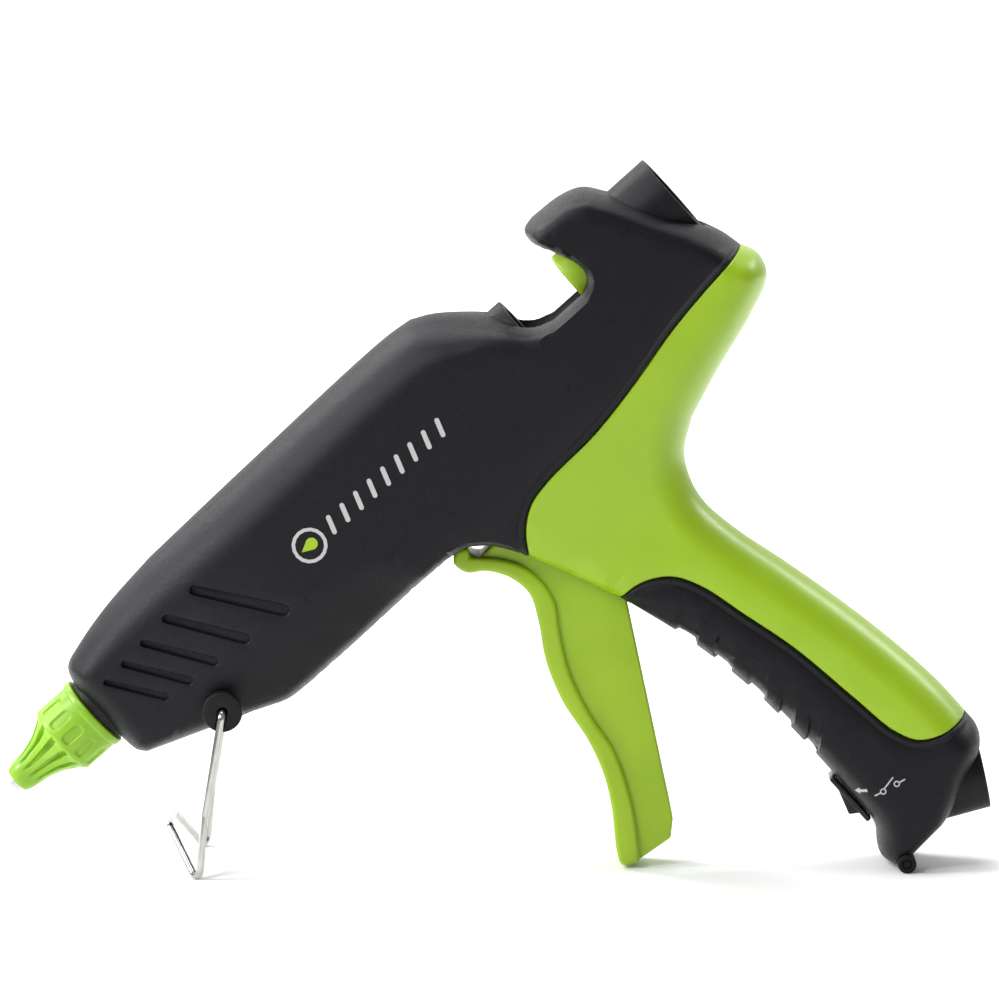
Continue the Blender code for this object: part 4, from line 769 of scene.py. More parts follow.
def heightfield(outline, base_y, side, height, lines=(), loops=(), rings=(), lattice=5 * MM, inset=0.0):
    """Closed solid over an outline: flat at base_y, and height(points) on the other face.

    lines and loops are paths that the surface's edges follow; rings are shares of the edge radius.
    """
    spread = Spread()
    rim = [spread.put(point) for point in outline]
    edges = list(zip(rim, rim[1:] + rim[:1]))
    for closed, paths in ((False, lines), (True, loops)):
        for path in paths:
            flags = inside(np.array(path), outline)
            kept = [spread.put(point) if flag else None for point, flag in zip(path, flags)]
            pairs = list(zip(kept, kept[1:] + kept[:1])) if closed else list(zip(kept, kept[1:]))
            edges += [(a, b) for a, b in pairs if a is not None and b is not None]
    for share in rings:
        ring = offset_ring(share, inset, 3.2 * MM if inset else 0.5 * MM)
        keep = inside(ring, outline) & (edge_distance(ring, inset)[1] > 0.93 * min(share, 0.98))
        for point in ring[keep]:
            spread.offer(point, min(1.2 * MM, max(0.05 * MM, share * 4 * MM)))
    low, high = np.min(outline, axis=0), np.max(outline, axis=0)
    columns, rows = np.arange(low[0], high[0], lattice), np.arange(low[1], high[1], lattice)
    grid = np.stack(np.meshgrid(columns, rows), axis=2).reshape(-1, 2)
    grid = grid[inside(grid, outline)]
    for point in grid[edge_distance(grid, inset)[1] > 0.9]:
        spread.offer(point, lattice * 0.4)
    verts, _, faces, *_ = delaunay_2d_cdt([Vector(p) for p in spread.points], edges, [], 1, 1e-7)
    places = np.array([tuple(v) for v in verts])
    heights = height(places)
    bm = bmesh.new()
    top = [bm.verts.new((x, side * h, z)) for (x, z), h in zip(places, heights)]
    skin = [bm.faces.new([top[i] for i in face]) for face in faces]
    walls = bmesh.ops.extrude_face_region(bm, geom=skin)
    for vert in (item for item in walls["geom"] if isinstance(item, bmesh.types.BMVert)):
        vert.co.y = base_y
    bmesh.ops.recalc_face_normals(bm, faces=bm.faces)
    flat_edges = [e for e in bm.edges if all(abs(v.co.y - base_y) < 1e-7 for v in e.verts)]
    bmesh.ops.dissolve_limit(bm, angle_limit=radians(1), verts=[], edges=flat_edges)
    bmesh.ops.triangulate(bm, faces=bm.faces)
    return mesh_from(bm, "side")


def stretch_paths(*stretches):
    return [resampled(smooth(in_metres(points), OUTLINE_STEP), OUTLINE_STEP) for _, points in stretches]


def between_seams(*stretches):
    """A run of the silhouette, without the corner points at its two ends that the seams replace."""
    return loop(*stretch_paths(*stretches))[1:-1]


UPPER_PATH = resampled(smooth(in_metres(UPPER_SEAM), OUTLINE_STEP), OUTLINE_STEP)
LOWER_PATH = resampled(smooth(in_metres(LOWER_SEAM), OUTLINE_STEP), OUTLINE_STEP)


def grooved_front():
    """The grip's front edge, stepped in where the finger grooves cross it."""
    path = between_seams(HEEL, SOLE, TOE, GRIP_FRONT)
    result = []
    for (x0, z0), (x1, z1) in zip(path, path[1:]):
        result.append((x0, z0))
        if x0 < 196 * MM and z1 > z0:
            for bottom in sorted(value * MM for groove in GRIP_GROOVES for value in groove):
                if z0 < bottom < z1:
                    t = (bottom - z0) / (z1 - z0)
                    x = x0 + (x1 - x0) * t
                    result += [(x, bottom - 0.15 * MM), (x, bottom + 0.15 * MM)]
    result.append(path[-1])
    return [(x + groove_share(x, z) * GRIP_GROOVE_DEPTH, z) for x, z in result]


def groove_share(x, z):
    """1 on the grip's front edge inside a finger groove, 0 elsewhere."""
    if x > 196 * MM:
        return 0.0
    return float(any(low * MM < z < high * MM for high, low in GRIP_GROOVES))


def region_outlines():
    """Outlines of the three shells of one side, SEAM apart."""
    barrel = loop(between_seams(THROAT_TOP, BELLY, CHIN, CHIN_TIP, NOSE, NOSE_TOP, BARREL_TOP, BAY_SLOPE,
                                BAY_FLOOR, HEAD_FRONT, HEAD_TOP, HEAD_BACK), shifted(UPPER_PATH, -SEAM / 2))
    grip = loop(between_seams(BEAK, PALM), shifted(LOWER_PATH[::-1], -SEAM / 2), between_seams(THROAT),
                shifted(UPPER_PATH[::-1], -SEAM / 2))
    handle = loop(grooved_front(), shifted(LOWER_PATH, -SEAM / 2))
    return {"barrel": barrel, "grip": grip, "handle": handle}


LIP = 0.7 * MM
LIP_RINGS = (0.12, 0.35, 0.8)
BEAD_RINGS = (0.12, 0.4, 0.8, 1.2, 1.7, 2.3, 3.2)
LIP_BEAD = 0.3 * MM
LIP_GROOVE = 0.45 * MM
CREASE_RIDGE = 0.15 * MM
VENT_DEPTHS = (2.0, 1.4)
VENT_LIP = 0.3


def front_x(z):
    """x of the grip's front edge at height z."""
    path = np.array(stretch_paths(GRIP_FRONT)[0])
    return np.interp(z, path[:, 1], path[:, 0])


def lip_drop(distance):
    """How far a moulded edge is rounded down at a distance from it."""
    d = np.clip(distance - SEAM / 2, 0, LIP)
    return LIP - np.sqrt(LIP ** 2 - (LIP - d) ** 2)


def lip_bead(distance):
    """A raised bead and a groove that run along a seam's lip."""
    bead = LIP_BEAD * np.exp(-((distance - 1.1 * MM) / (0.45 * MM)) ** 2)
    return bead - LIP_GROOVE * np.exp(-((distance - 2.3 * MM) / (0.5 * MM)) ** 2)


def slot_drop(points, slot):
    """How far a tapered slot sinks the surface; its floor rises towards its rear end."""
    start, end, start_radius, end_radius = slot
    start, end = np.array(start) * MM, np.array(end) * MM
    along = end - start
    share = np.clip(((points - start) @ along) / (along @ along), 0, 1)
    distance = np.linalg.norm(points - start - share[:, None] * along, axis=1)
    depth = (start_radius + share * (end_radius - start_radius)) - distance / MM
    floor = VENT_DEPTHS[0] + share * (VENT_DEPTHS[1] - VENT_DEPTHS[0])
    lip = np.interp(depth, [-0.45, -0.2, 0], [0, 0.08, VENT_LIP])
    return np.where(depth > 0, VENT_LIP + (floor - VENT_LIP) * np.clip(depth / 0.25, 0, 1), lip) * MM


def barrel_height(side):
    """The barrel's surface: beaded seam, moulded crease and vents."""
    def height(points):
        distance = path_distance(points, UPPER_PATH)
        result = side_height(points) - lip_drop(distance) + lip_bead(distance)
        result = result + CREASE_RIDGE * np.exp(-(path_distance(points, in_metres(CREASE)) / (0.5 * MM)) ** 2)
        for vent in VENTS:
            result = result - slot_drop(points, vent)
        return counterbored(points, result, "barrel", side)
    return height


def grip_height(side):
    """The grip's surface between its two seams."""
    def height(points):
        result = side_height(points) - lip_drop(path_distance(points, UPPER_PATH))
        result = result - lip_drop(path_distance(points, LOWER_PATH))
        return counterbored(points, result, "grip", side)
    return height


def handle_height(side):
    """The handle's surface: beaded seam and finger grooves."""
    def height(points):
        distance = path_distance(points, LOWER_PATH)
        result = side_height(points)
        carved = side_height(points, GRIP_GROOVE_DEPTH)
        back = points[:, 0] - front_x(points[:, 1])
        slanted = points[:, 1] - back * GRIP_GROOVE_SLANT
        fade = 1 - ease(back, GRIP_GROOVE_REACH - 1.5 * MM, GRIP_GROOVE_REACH)
        for high, low in GRIP_GROOVES:
            share = ease(slanted, (low - 0.15) * MM, (low + 0.15) * MM)
            share = share * (1 - ease(slanted, (high - 0.15) * MM, (high + 0.15) * MM)) * fade
            result = result + (carved - result) * share
        result = result - lip_drop(distance) + lip_bead(distance)
        return counterbored(points, result, "handle", side)
    return height


def counterbored(points, heights, region, side):
    """Screw holes in the right-hand shells, down to the screws' seats."""
    if side < 0:
        return heights
    for x, z in screws_of(region):
        distance = np.hypot(points[:, 0] - x * MM, points[:, 1] - z * MM)
        edge = np.clip((distance - SCREW_HOLE_RADIUS) / (0.35 * MM), 0, 1)
        heights = heights - 0.3 * MM * (1 - edge) ** 2
        heights = np.where(distance < SCREW_HOLE_RADIUS - 0.05 * MM, SCREW_SEAT_Y, heights)
    return heights


def feature_loops(region, side):
    """Closed paths round the vents and screw holes."""
    loops = []
    if region == "barrel":
        for start, end, start_radius, end_radius in VENTS:
            for grow in (0.45, 0.2, 0, -0.25):
                loops.append(in_metres(capsule(start, end, start_radius + grow, end_radius + grow)))
    if side > 0:
        for x, z in screws_of(region):
            for grow in (0.35, 0.15, 0, -0.1):
                loops.append(circle(x * MM, z * MM, SCREW_HOLE_RADIUS + grow * MM))
    return loops


def feature_lines(region):
    """Open paths along the seams, the crease and the finger grooves."""
    lines = []
    rings = LIP_RINGS if region == "grip" else BEAD_RINGS
    if region in ("barrel", "grip"):
        sign = -1 if region == "barrel" else 1
        lines += [shifted(UPPER_PATH, sign * (SEAM / 2 + d * MM))[1:-1] for d in rings]
    if region in ("grip", "handle"):
        sign = 1 if region == "grip" else -1
        lines += [shifted(LOWER_PATH, sign * (SEAM / 2 + d * MM))[1:-1] for d in rings]
    if region == "barrel":
        crease = resampled(smooth(in_metres(CREASE), 2.5 * MM), 2.5 * MM)
        lines.append([p for p in crease if p[0] > 37.5 * MM and p[1] > -37 * MM])
    if region == "handle":
        backs = [0.6, 1.8, 3, 4.2, 5.4, 6.5, 7.2, 8, 9]
        for groove in GRIP_GROOVES:
            for z in groove:
                for shift in (-0.15, 0.15):
                    start = (z + shift) * MM
                    front = float(front_x(start))
                    lines.append([(front + (b + 0.8) * MM, start + (b + 0.8) * MM * GRIP_GROOVE_SLANT)
                                  for b in backs])
    return lines


OUTER_RINGS = (0.012, 0.04, 0.09, 0.16, 0.26, 0.38, 0.52, 0.68, 0.84, 1.0)


def hollow_outline():
    """The outline moved in by the wall, without the loops that tight corners leave."""
    moved = offset_ring(0, WALL, 1)
    kept = moved[edge_distance(moved)[0] > WALL - 0.12 * MM]
    return [tuple(point) for point in kept[::2]]


def hollow(side):
    """What is taken out of one side: the cavity, less the ribs, posts and bosses that stay."""
    def height(points):
        return side_height(points, WALL, INNER_RIM_SHARE)

    tool = heightfield(hollow_outline(), -side * 3 * MM, side, height, rings=(0.15, 0.5, 1.0),
                       lattice=14 * MM, inset=WALL)
    kept = [box_mesh(((x - 0.9) * MM, -PAST_SIDES, z * MM), ((x + 0.9) * MM, PAST_SIDES, PAST_SIDES))
            for x, z in RIBS]
    kept.append(box_mesh(*TROUGH))
    for x, z in SCREWS:
        kept.append(rod_mesh(*across(x * MM, z * MM, -PAST_SIDES, PAST_SIDES), SCREW_POST_RADIUS, 16))
    ends = across(TRIGGER_PIVOT.x, TRIGGER_PIVOT.z, side * (ARM_OUTER + 2 * GAP), side * PAST_SIDES)
    kept.append(rod_mesh(*ends, PIVOT_PIN_RADIUS + 3 * MM, 20))
    kept.append(rod_mesh(*across(*FOOT_ROD, -PAST_SIDES, PAST_SIDES), FOOT_ROD_RADIUS + 2.4 * MM, 24))
    return cut(tool, *kept)


def barrel_tools():
    """Bores and notches through a barrel shell."""
    tools = [
        trigger_slot(),
        rod_mesh((20 * MM, 0, 0), (46 * MM, 0, 0), COLLAR_RADIUS + GAP, 72),
        rod_mesh((45 * MM, 0, 0), (135 * MM, 0, 0), CHAMBER_RADIUS + GAP, 32),
        rod_mesh((190 * MM, 0, 0), (GUIDE_START + 1 * MM, 0, 0), SLEEVE_RADIUS + GAP, 72),
        rod_mesh((258 * MM, 0, 0), (300 * MM, 0, 0), GUIDE_RADIUS + GAP, 72),
        rod_mesh(*across(STAND_PIVOT.x, STAND_PIVOT.z, -PAST_SIDES, PAST_SIDES), STAND_STEM_RADIUS + GAP, 24),
        box_mesh((149.2 * MM, -PLATE_HALF_WIDTH - 2 * GAP, -50 * MM),
                 (159 * MM, PLATE_HALF_WIDTH + 2 * GAP, -36.3 * MM)),
    ]
    reach = LINK_HALF_HEIGHT + 2 * GAP
    for side in (-1, 1):
        low, high = sorted((side * (LINK_Y - 2 * GAP), side * (LINK_Y + LINK_THICKNESS + 2 * GAP)))
        tools.append(box_mesh((170 * MM, low, ARM_PIN.z - reach), (256 * MM, high, ARM_PIN.z + reach)))
    return tools


def trigger_slot():
    """The space that the trigger's web swings through."""
    outline = in_metres([(158, -36), (166, -36), (182, -52), (192, -78), (196, -108), (182, -108), (174, -84),
                         (160, -56)])
    half = WEB_HALF_WIDTH + 0.8 * MM
    return slab_mesh(outline, -half, half)


def handle_tools():
    """Openings for the trigger, foot rod, switch and cord socket."""
    cx, cz = SWITCH_CENTRE.x, SWITCH_CENTRE.z
    return [
        trigger_slot(),
        rod_mesh(*across(*FOOT_ROD, -PAST_SIDES, PAST_SIDES), FOOT_ROD_RADIUS + GAP, 48),
        box_mesh((180 * MM, -5.3 * MM, cz - 7.7 * MM), (200 * MM, 5.3 * MM, cz + 7.7 * MM)),
        box_mesh((180 * MM, -6.5 * MM, cz - 9.3 * MM), (cx - 1 * MM, 6.5 * MM, cz + 9.3 * MM)),
        rod_mesh(SOCKET_FACE - SOCKET_AXIS * (SOCKET_LENGTH + GAP), SOCKET_FACE + SOCKET_AXIS * 12 * MM,
                 12.6 * MM, 64),
    ]


def grip_tools():
    """The trigger's slot and its pin's hole."""
    half = PIVOT_PIN_HALF_LENGTH + GAP
    return [trigger_slot(),
            rod_mesh(*across(TRIGGER_PIVOT.x, TRIGGER_PIVOT.z, -half, half), PIVOT_PIN_RADIUS + GAP, 24)]


def casing():
    """The six shells, in fine mesh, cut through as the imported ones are."""
    heights = {"barrel": barrel_height, "grip": grip_height, "handle": handle_height}
    tools = {"barrel": barrel_tools, "grip": grip_tools, "handle": handle_tools}
    slots = {"barrel": "black_housing", "grip": "green_housing", "handle": "black_housing"}
    outlines = region_outlines()
    for side, side_name in ((-1, "left"), (1, "right")):
        cavity = hollow(side)
        for region, outline in outlines.items():
            skin = heightfield(outline, side * SEAM / 2, side, heights[region](side), feature_lines(region),
                               feature_loops(region, side), OUTER_RINGS)
            shanks = [rod_mesh(*across(x * MM, z * MM, -14 * MM, SCREW_SEAT_Y + 1 * MM), 1.7 * MM, 12)
                      for x, z in SCREWS]
            shell = cut(skin, cavity.copy(), *tools[region](), *shanks)
            piece(f"{region}_side_{side_name}", shell, slots[region], "root",
                  f"{region}_shell_{side_name}", sharp=38)


# ---- nozzle -----------------------------------------------------------------
BOOT_GROOVES = 12


def boot_radius(index, along, angle, radius):
    """Long slots between ribs on the cone, and shallow pads on the collar."""
    if index >= BOOT_OUTER_COUNT:
        return radius
    pitch = 2 * pi / BOOT_GROOVES
    aside = abs((angle / pitch) % 1 - 0.5) * pitch * radius
    cone = float(ease(along, 6.5, 9.5) * (1 - ease(along, 20.3, 21.6)))
    width = 0.3 + 0.5 * float(ease(along, 7, 20))
    deep = 0.8 + 1.6 * float(ease(along, 8, 19))
    carved = deep * cone * (1 - float(ease(aside, width, width + 0.35)))
    beside = abs(((angle / pitch) + 0.5) % 1 - 0.5) * pitch * radius
    end = max(0.0, abs(along - 26.7) - 2.3)
    pad = hypot(end, max(0.0, beside - 0.5))
    carved += 0.6 * (1 - float(ease(pad, 1.0, 1.35)))
    return radius - carved


BOOT_CONE = [(3.2, 4.5), (5, 5), (10, 5.65), (15, 7.2), (20, 10)]
BOOT_OUTER = [(2.2, 3.7), (2.5, 4.1), (3.2, 4.5)] + smooth(BOOT_CONE, 0.5)[1:]
BOOT_OUTER += [(20.4, 10.35), (20.8, 10.8), (21.2, 11.3), (21.5, 11.55), (21.9, 11.68)]
BOOT_OUTER += [(22.3 + 0.36 * i, 11.7) for i in range(30)] + [(32.95, 11.75), (33.1, 12.1), (33.4, 12.2)]
BOOT_OUTER += [(34.4, 12.2), (35.1, 12.2), (35.4, 12.05), (35.5, 11.7)]
BOOT_OUTER_COUNT = len(BOOT_OUTER)


def nozzle():
    axis = (1, 0, 0)
    bore = [(35.5, 7.5), (22, 7.5), (6, 3.95), (2.2, 3.3)]
    boot = turned_mesh(BOOT_OUTER + bore, (0, 0, 0), axis, 288, boot_radius)
    piece("boot", boot, "green_silicone", "root", "nozzle_boot", sharp=60)
    tip = rounded([(0, 1.0), (0, 2.5), (0.6, 3), (2.2, 3), (6, 3.6), (22, 7.2), (34, 7.2), (34, 3), (10, 3),
                   (4, 1)], 0.3)
    piece("tip", turned_mesh(tip, (0, 0, 0), axis), "cast_aluminium", "root", "nozzle_tip")
    collar = rounded([(35.8, 7.5), (35.8, 11), (44.8, 11), (44.8, 9.3), (38.3, 9.3), (38.3, 7.5)], 0.4)
    piece("collar", turned_mesh(collar, (0, 0, 0), axis), "black_silicone", "root", "nozzle_collar")


# ---- glue stick's way -------------------------------------------------------
def stick_way():
    axis = (1, 0, 0)
    sleeve = rounded([(135.3, 8.3), (135.3, 11), (214.3, 11), (214.3, 8.1), (211.3, 6.1), (150.3, 6.1),
                      (150.3, 8.3)], 0.5)
    piece("sleeve", turned_mesh(sleeve, (0, 0, 0), axis), "black_silicone", "root", "inlet_sleeve")
    guide = rounded([(258.5, 6.5), (258.5, 14), (276.5, 14), (276.5, 12.6), (274.5, 12.6), (269.5, 10.6),
                     (264.5, 6.5)], 0.4)
    piece("guide", turned_mesh(guide, (0, 0, 0), axis, 96), "black_housing", "root", "rear_stick_guide")


def carriage():
    body = rounded([(235, 7.1), (235, 9.7), (235.8, 10.5), (256, 10.5), (256, 6.1), (236.5, 6.1)], 0.4)
    mesh = turned_mesh(body, (0, 0, 0), (1, 0, 0), 64)
    stud, added = LINK_STUD, []
    for side in (-1, 1):
        low, high = sorted((side * 7.5 * MM, side * (ARM_OUTER - 0.1 * MM)))
        wing = box_mesh((stud.x - 5.5 * MM, low, stud.z - 3 * MM),
                        (stud.x + 5.5 * MM, high, stud.z + 3.6 * MM))
        added.append(bevelled(wing, 0.5 * MM))
        ends = across(stud.x, stud.z, side * (ARM_OUTER - 1 * MM), side * (LINK_Y + 3 * MM))
        added.append(bevelled(rod_mesh(*ends, ARM_PIN_RADIUS, 32), 0.3 * MM, 2, 60))
    jaw = Vector((CARRIAGE_FRONT + 16 * MM, 0, -15 * MM))
    added.append(box_mesh((jaw.x - 3.4 * MM, -5.2 * MM, jaw.z - 3.4 * MM),
                          (jaw.x + 3.4 * MM, 5.2 * MM, -7.6 * MM)))
    mesh = joined(mesh, *added)
    slot = box_mesh((CARRIAGE_FRONT + 5 * MM, -2.7 * MM, -30 * MM), (CARRIAGE_FRONT + 22 * MM, 2.7 * MM, 0))
    mesh = cut(mesh, slot, rod_mesh(*across(jaw.x, jaw.z, -10 * MM, 10 * MM), 1.8 * MM, 24))
    piece("feed_carriage", mesh, "green_moving", "carriage", "carriage")


# ---- trigger ----------------------------------------------------------------
def trigger():
    front = smooth(in_metres(FINGER_FRONT), 2 * MM)
    back = smooth(in_metres(FINGER_BACK), 2 * MM)
    plate = bevelled(slab_mesh(loop(front, back), -PLATE_HALF_WIDTH, PLATE_HALF_WIDTH), 2.1 * MM, 5, 50)
    pivot_x, pivot_z = TRIGGER_PIVOT.x, TRIGGER_PIVOT.z
    pivot_side = [(pivot_x - 6 * MM, pivot_z + 3 * MM), (pivot_x + 6 * MM, pivot_z)]
    web_outline = loop(shifted(back, 1.5 * MM)[:-1], pivot_side,
                       in_metres([WEB_TOP, WEB_BACK[1], WEB_BACK[0]]))
    added = [bevelled(slab_mesh(web_outline, -WEB_HALF_WIDTH, WEB_HALF_WIDTH), 0.7 * MM, 3, 45)]
    for side in (-1, 1):
        ends = across(pivot_x, pivot_z, side * 6.3 * MM, side * ARM_OUTER)
        added.append(rod_mesh(*ends, 6.5 * MM, 40))
        arm = capsule((pivot_x, pivot_z), (ARM_PIN.x, ARM_PIN.z), 5 * MM, 3.8 * MM)
        low, high = sorted((side * ARM_INNER, side * ARM_OUTER))
        added.append(slab_mesh(arm, low, high))
        ends = across(ARM_PIN.x, ARM_PIN.z, side * (ARM_OUTER - 1 * MM), side * (LINK_Y + 3 * MM))
        added.append(rod_mesh(*ends, ARM_PIN_RADIUS, 24))
    mesh = joined(plate, *added)
    pocket_front = [(x + 2 * MM, z) for x, z in back if z > -138 * MM and z < -50 * MM]
    pocket_back = [(pivot_x - 7.5 * MM, pivot_z + 6 * MM), (pivot_x + 30 * MM, pivot_z + 6 * MM),
                   (pivot_x + 30 * MM, pivot_z - 20 * MM)]
    pocket = loop(pocket_front, pocket_back, in_metres([(149, -141.5)]))
    hole = rod_mesh(*across(pivot_x, pivot_z, -30 * MM, 30 * MM), PIVOT_PIN_RADIUS + GAP, 24)
    mesh = cut(mesh, slab_mesh(pocket, -WEB_POCKET_HALF_WIDTH, WEB_POCKET_HALF_WIDTH), hole)
    piece("finger_trigger", mesh, "green_moving", "trigger", "trigger", sharp=30)


# ---- stand and foot ---------------------------------------------------------
def filleted(points, radius, steps=12):
    """A wire's route with its corners bent to a radius."""
    route = [Vector(p) for p in points]
    path = [route[0]]
    for before, corner, after in zip(route, route[1:], route[2:]):
        to_before, to_after = (before - corner).normalized(), (after - corner).normalized()
        half = to_before.angle(to_after) / 2
        setback = radius / tan(half)
        start, end = corner + to_before * setback, corner + to_after * setback
        centre = corner + (to_before + to_after).normalized() * (radius / sin(half))
        first, last = (start - centre) / radius, (end - centre) / radius
        for i in range(steps + 1):
            path.append(centre + radius * first.slerp(last, i / steps))
    return [tuple(p) for p in [*path, route[-1]]]


def stand():
    px, pz = STAND_PIVOT.x, STAND_PIVOT.z
    foot = (STAND_FOOT_X, STAND_FOOT_Y, height_of_rest(STAND_FOOT_X, STAND_WIRE_RADIUS - STAND_BEND_DROP))
    half = [(px, STAND_BOSS_FACE - 7 * MM, pz), (px, STAND_LEG_Y, pz), STAND_KNEE, foot, STAND_BRIDGE]
    route = filleted(half + [(x, -y, z) for x, y, z in half[::-1]], STAND_BEND_RADIUS)
    wire = tube_mesh(route, STAND_WIRE_RADIUS, 24)
    piece("stand_bail", wire, "chromed_wire", "stand", "stand_wire", sharp=60)
    seat, face, stem = STAND_BOSS_SEAT / MM, STAND_BOSS_FACE / MM, STAND_STEM_RADIUS / MM
    radius, hole = STAND_BOSS_RADIUS / MM, STAND_WIRE_RADIUS / MM + 0.3
    outer = rounded([(14, stem), (seat, stem), (seat, radius), (face, radius),
                     (face, hole), (face - 7.6, hole)],
                    0.7, closed=False)
    for side, side_name in ((-1, "left"), (1, "right")):
        boss = turned_mesh([(14, 0), *outer, (face - 7.6, 0)], (px, 0, pz), (0, side, 0), 48)
        y = side * (STAND_BOSS_FACE + 0.5 * MM)
        way = Vector((STAND_KNEE[0] - px, 0, STAND_KNEE[2] - pz)).normalized() * 12 * MM
        channel = rod_mesh((px, y, pz), (px + way.x, y, pz + way.z), 1.7 * MM, 24)
        piece(f"stand_hub_{side_name}", cut(boss, channel), "black_silicone", "root",
              f"stand_boss_{side_name}")


def rear_foot():
    x, z = FOOT_ROD
    half = FOOT_ROD_HALF_LENGTH / MM
    end = [(half, 2.9), (half, 1.5), (half - 0.6, 1.5), (half - 0.6, 1.1), (half, 1.1)]
    start = [(-along, radius) for along, radius in end[::-1]]
    profile = [(-half, 0)] + rounded(start + end, 0.5, closed=False) + [(half, 0)]
    piece("foot_rod", turned_mesh(profile, (x, 0, z), (0, 1, 0), 48), "rubber", "root", "rear_foot")


# ---- switch and socket ------------------------------------------------------
def switch():
    cx, cz = SWITCH_CENTRE.x, SWITCH_CENTRE.z
    bezel = box_mesh((cx - 3.2 * MM, -6.2 * MM, cz - 9 * MM), (cx - 1.3 * MM, 6.2 * MM, cz + 9 * MM))
    window = box_mesh((cx - 9 * MM, -4.5 * MM, cz - 7.35 * MM), (cx + 9 * MM, 4.5 * MM, cz + 7.35 * MM))
    bezel = cut(bevelled(bezel, 0.6 * MM, 3), window)
    piece("switch_frame", bevelled(bezel, 0.2 * MM, 2, 60), "black_switch", "root", "switch_bezel")
    face = [(-2.7, 6.2), (-6, -3.7), (-3.3, -5.6)]
    back = [(5.6 * cos(a), 5.6 * sin(a)) for a in np.linspace(radians(-95), radians(95), 24)]
    outline = [(cx + x * MM, cz + z * MM) for x, z in [*face, *back]]
    rocker = bevelled(slab_mesh(outline, -3.9 * MM, 3.9 * MM), 0.45 * MM, 3, 40)
    piece("rocker_cap", rocker, "black_switch", "rocker", "switch_rocker")


def cord_socket():
    profile = rounded([(17, 8.6), (0, 8.6), (0, 11), (22, 12.3)], 0.6, closed=False)
    inward = -SOCKET_AXIS
    mesh = turned_mesh([(17, 0), *profile, (22, 0)], SOCKET_FACE, inward, 64)
    holes = []
    for side in (-1, 1):
        offset = Vector((0, side * 3.6 * MM, 0))
        start = SOCKET_FACE + inward * 4 * MM + offset
        end = SOCKET_FACE + inward * (SOCKET_LENGTH + 8 * MM) + offset
        holes.append(rod_mesh(start, end, 1.6 * MM, 24))
    piece("socket", cut(mesh, *holes), "black_silicone", "root", "cord_inlet")


def screws():
    """Countersunk-looking pan heads with a cross recess, on threaded shanks."""
    for index, (x, z) in enumerate(SCREWS, start=1):
        head = [(0, 1.2), (0.2, 2.3), (0.8, 2.8), (1.9, 2.8), (1.95, 1.4)]
        profile = [(0, 0)] + rounded(head, 0.2, closed=False)
        profile += [(2.2 + 0.35 * i, 1.4 if i % 2 else 1.15) for i in range(50)] + [(20.6, 0.5), (21.4, 0)]
        mesh = turned_mesh(profile, (x * MM, SCREW_HEAD_Y, z * MM), (0, -1, 0), 28)
        blades = []
        for along in (0, 1):
            wide, narrow = (1.6 * MM, 0.35 * MM) if along else (0.35 * MM, 1.6 * MM)
            blades.append(box_mesh((x * MM - wide, SCREW_HEAD_Y - 1.1 * MM, z * MM - narrow),
                                   (x * MM + wide, SCREW_HEAD_Y + 1 * MM, z * MM + narrow)))
        piece(f"screw_{index}", cut(mesh, *blades), "zinc_steel", "root", f"shell_screw_{index}")


# ---- printed marks ----------------------------------------------------------
PRINT_LIFT = 0.12 * MM
PRINT_DEPTH = 0.15 * MM


def inlay(name, outlines, slot):
    """Thin print on the gun's left side, following its surface."""
    bm = bmesh.new()
    for outline in outlines:
        flat, faces = filled(in_metres(outline))
        places = np.array([tuple(v) for v in flat])
        heights = side_height(places)
        for offset, flip in ((PRINT_LIFT, False), (-PRINT_DEPTH, True)):
            verts = [bm.verts.new((x, -(h + offset), z)) for (x, z), h in zip(places, heights)]
            for face in faces:
                corners = [verts[i] for i in face]
                bm.faces.new(corners[::-1] if flip else corners)
            if not flip:
                upper = verts
        rim = len(places)
        for i in range(rim):
            j = (i + 1) % rim
            bm.faces.new((upper[i], verts[i], verts[j], upper[j]))
    bmesh.ops.recalc_face_normals(bm, faces=bm.faces)
    piece(name, mesh_from(bm, name), slot, "root")


def bar(start, end, half_width):
    """Outline of a straight stroke with round ends."""
    return resampled(capsule(start, end, half_width, half_width, 5), 2)


def ring(x, z, radius, half_width, gap=0):
    """Two half rings, so that each outline stays simple."""
    halves = []
    for start in (0, 180):
        angles = np.linspace(radians(start + gap), radians(start + 180 - gap), 9)
        inside_radius, outside_radius = radius - half_width, radius + half_width
        outer = [(x + outside_radius * cos(a), z + outside_radius * sin(a)) for a in angles]
        inner = [(x + inside_radius * cos(a), z + inside_radius * sin(a)) for a in angles[::-1]]
        halves.append(outer + inner)
    return halves


def drop_outline(x, z, radius, tail):
    """A drop of glue, its point towards the nozzle."""
    angles = np.linspace(radians(-130), radians(130), 15)
    return [(x + radius * cos(a), z + radius * sin(a)) for a in angles] + [(x - tail, z)]


def placed(outline, x, z, angle):
    """An outline turned and moved to its place on the gun's side."""
    c, s = cos(angle), sin(angle)
    return [(x + c * u - s * v, z + s * u + c * v) for u, v in outline]


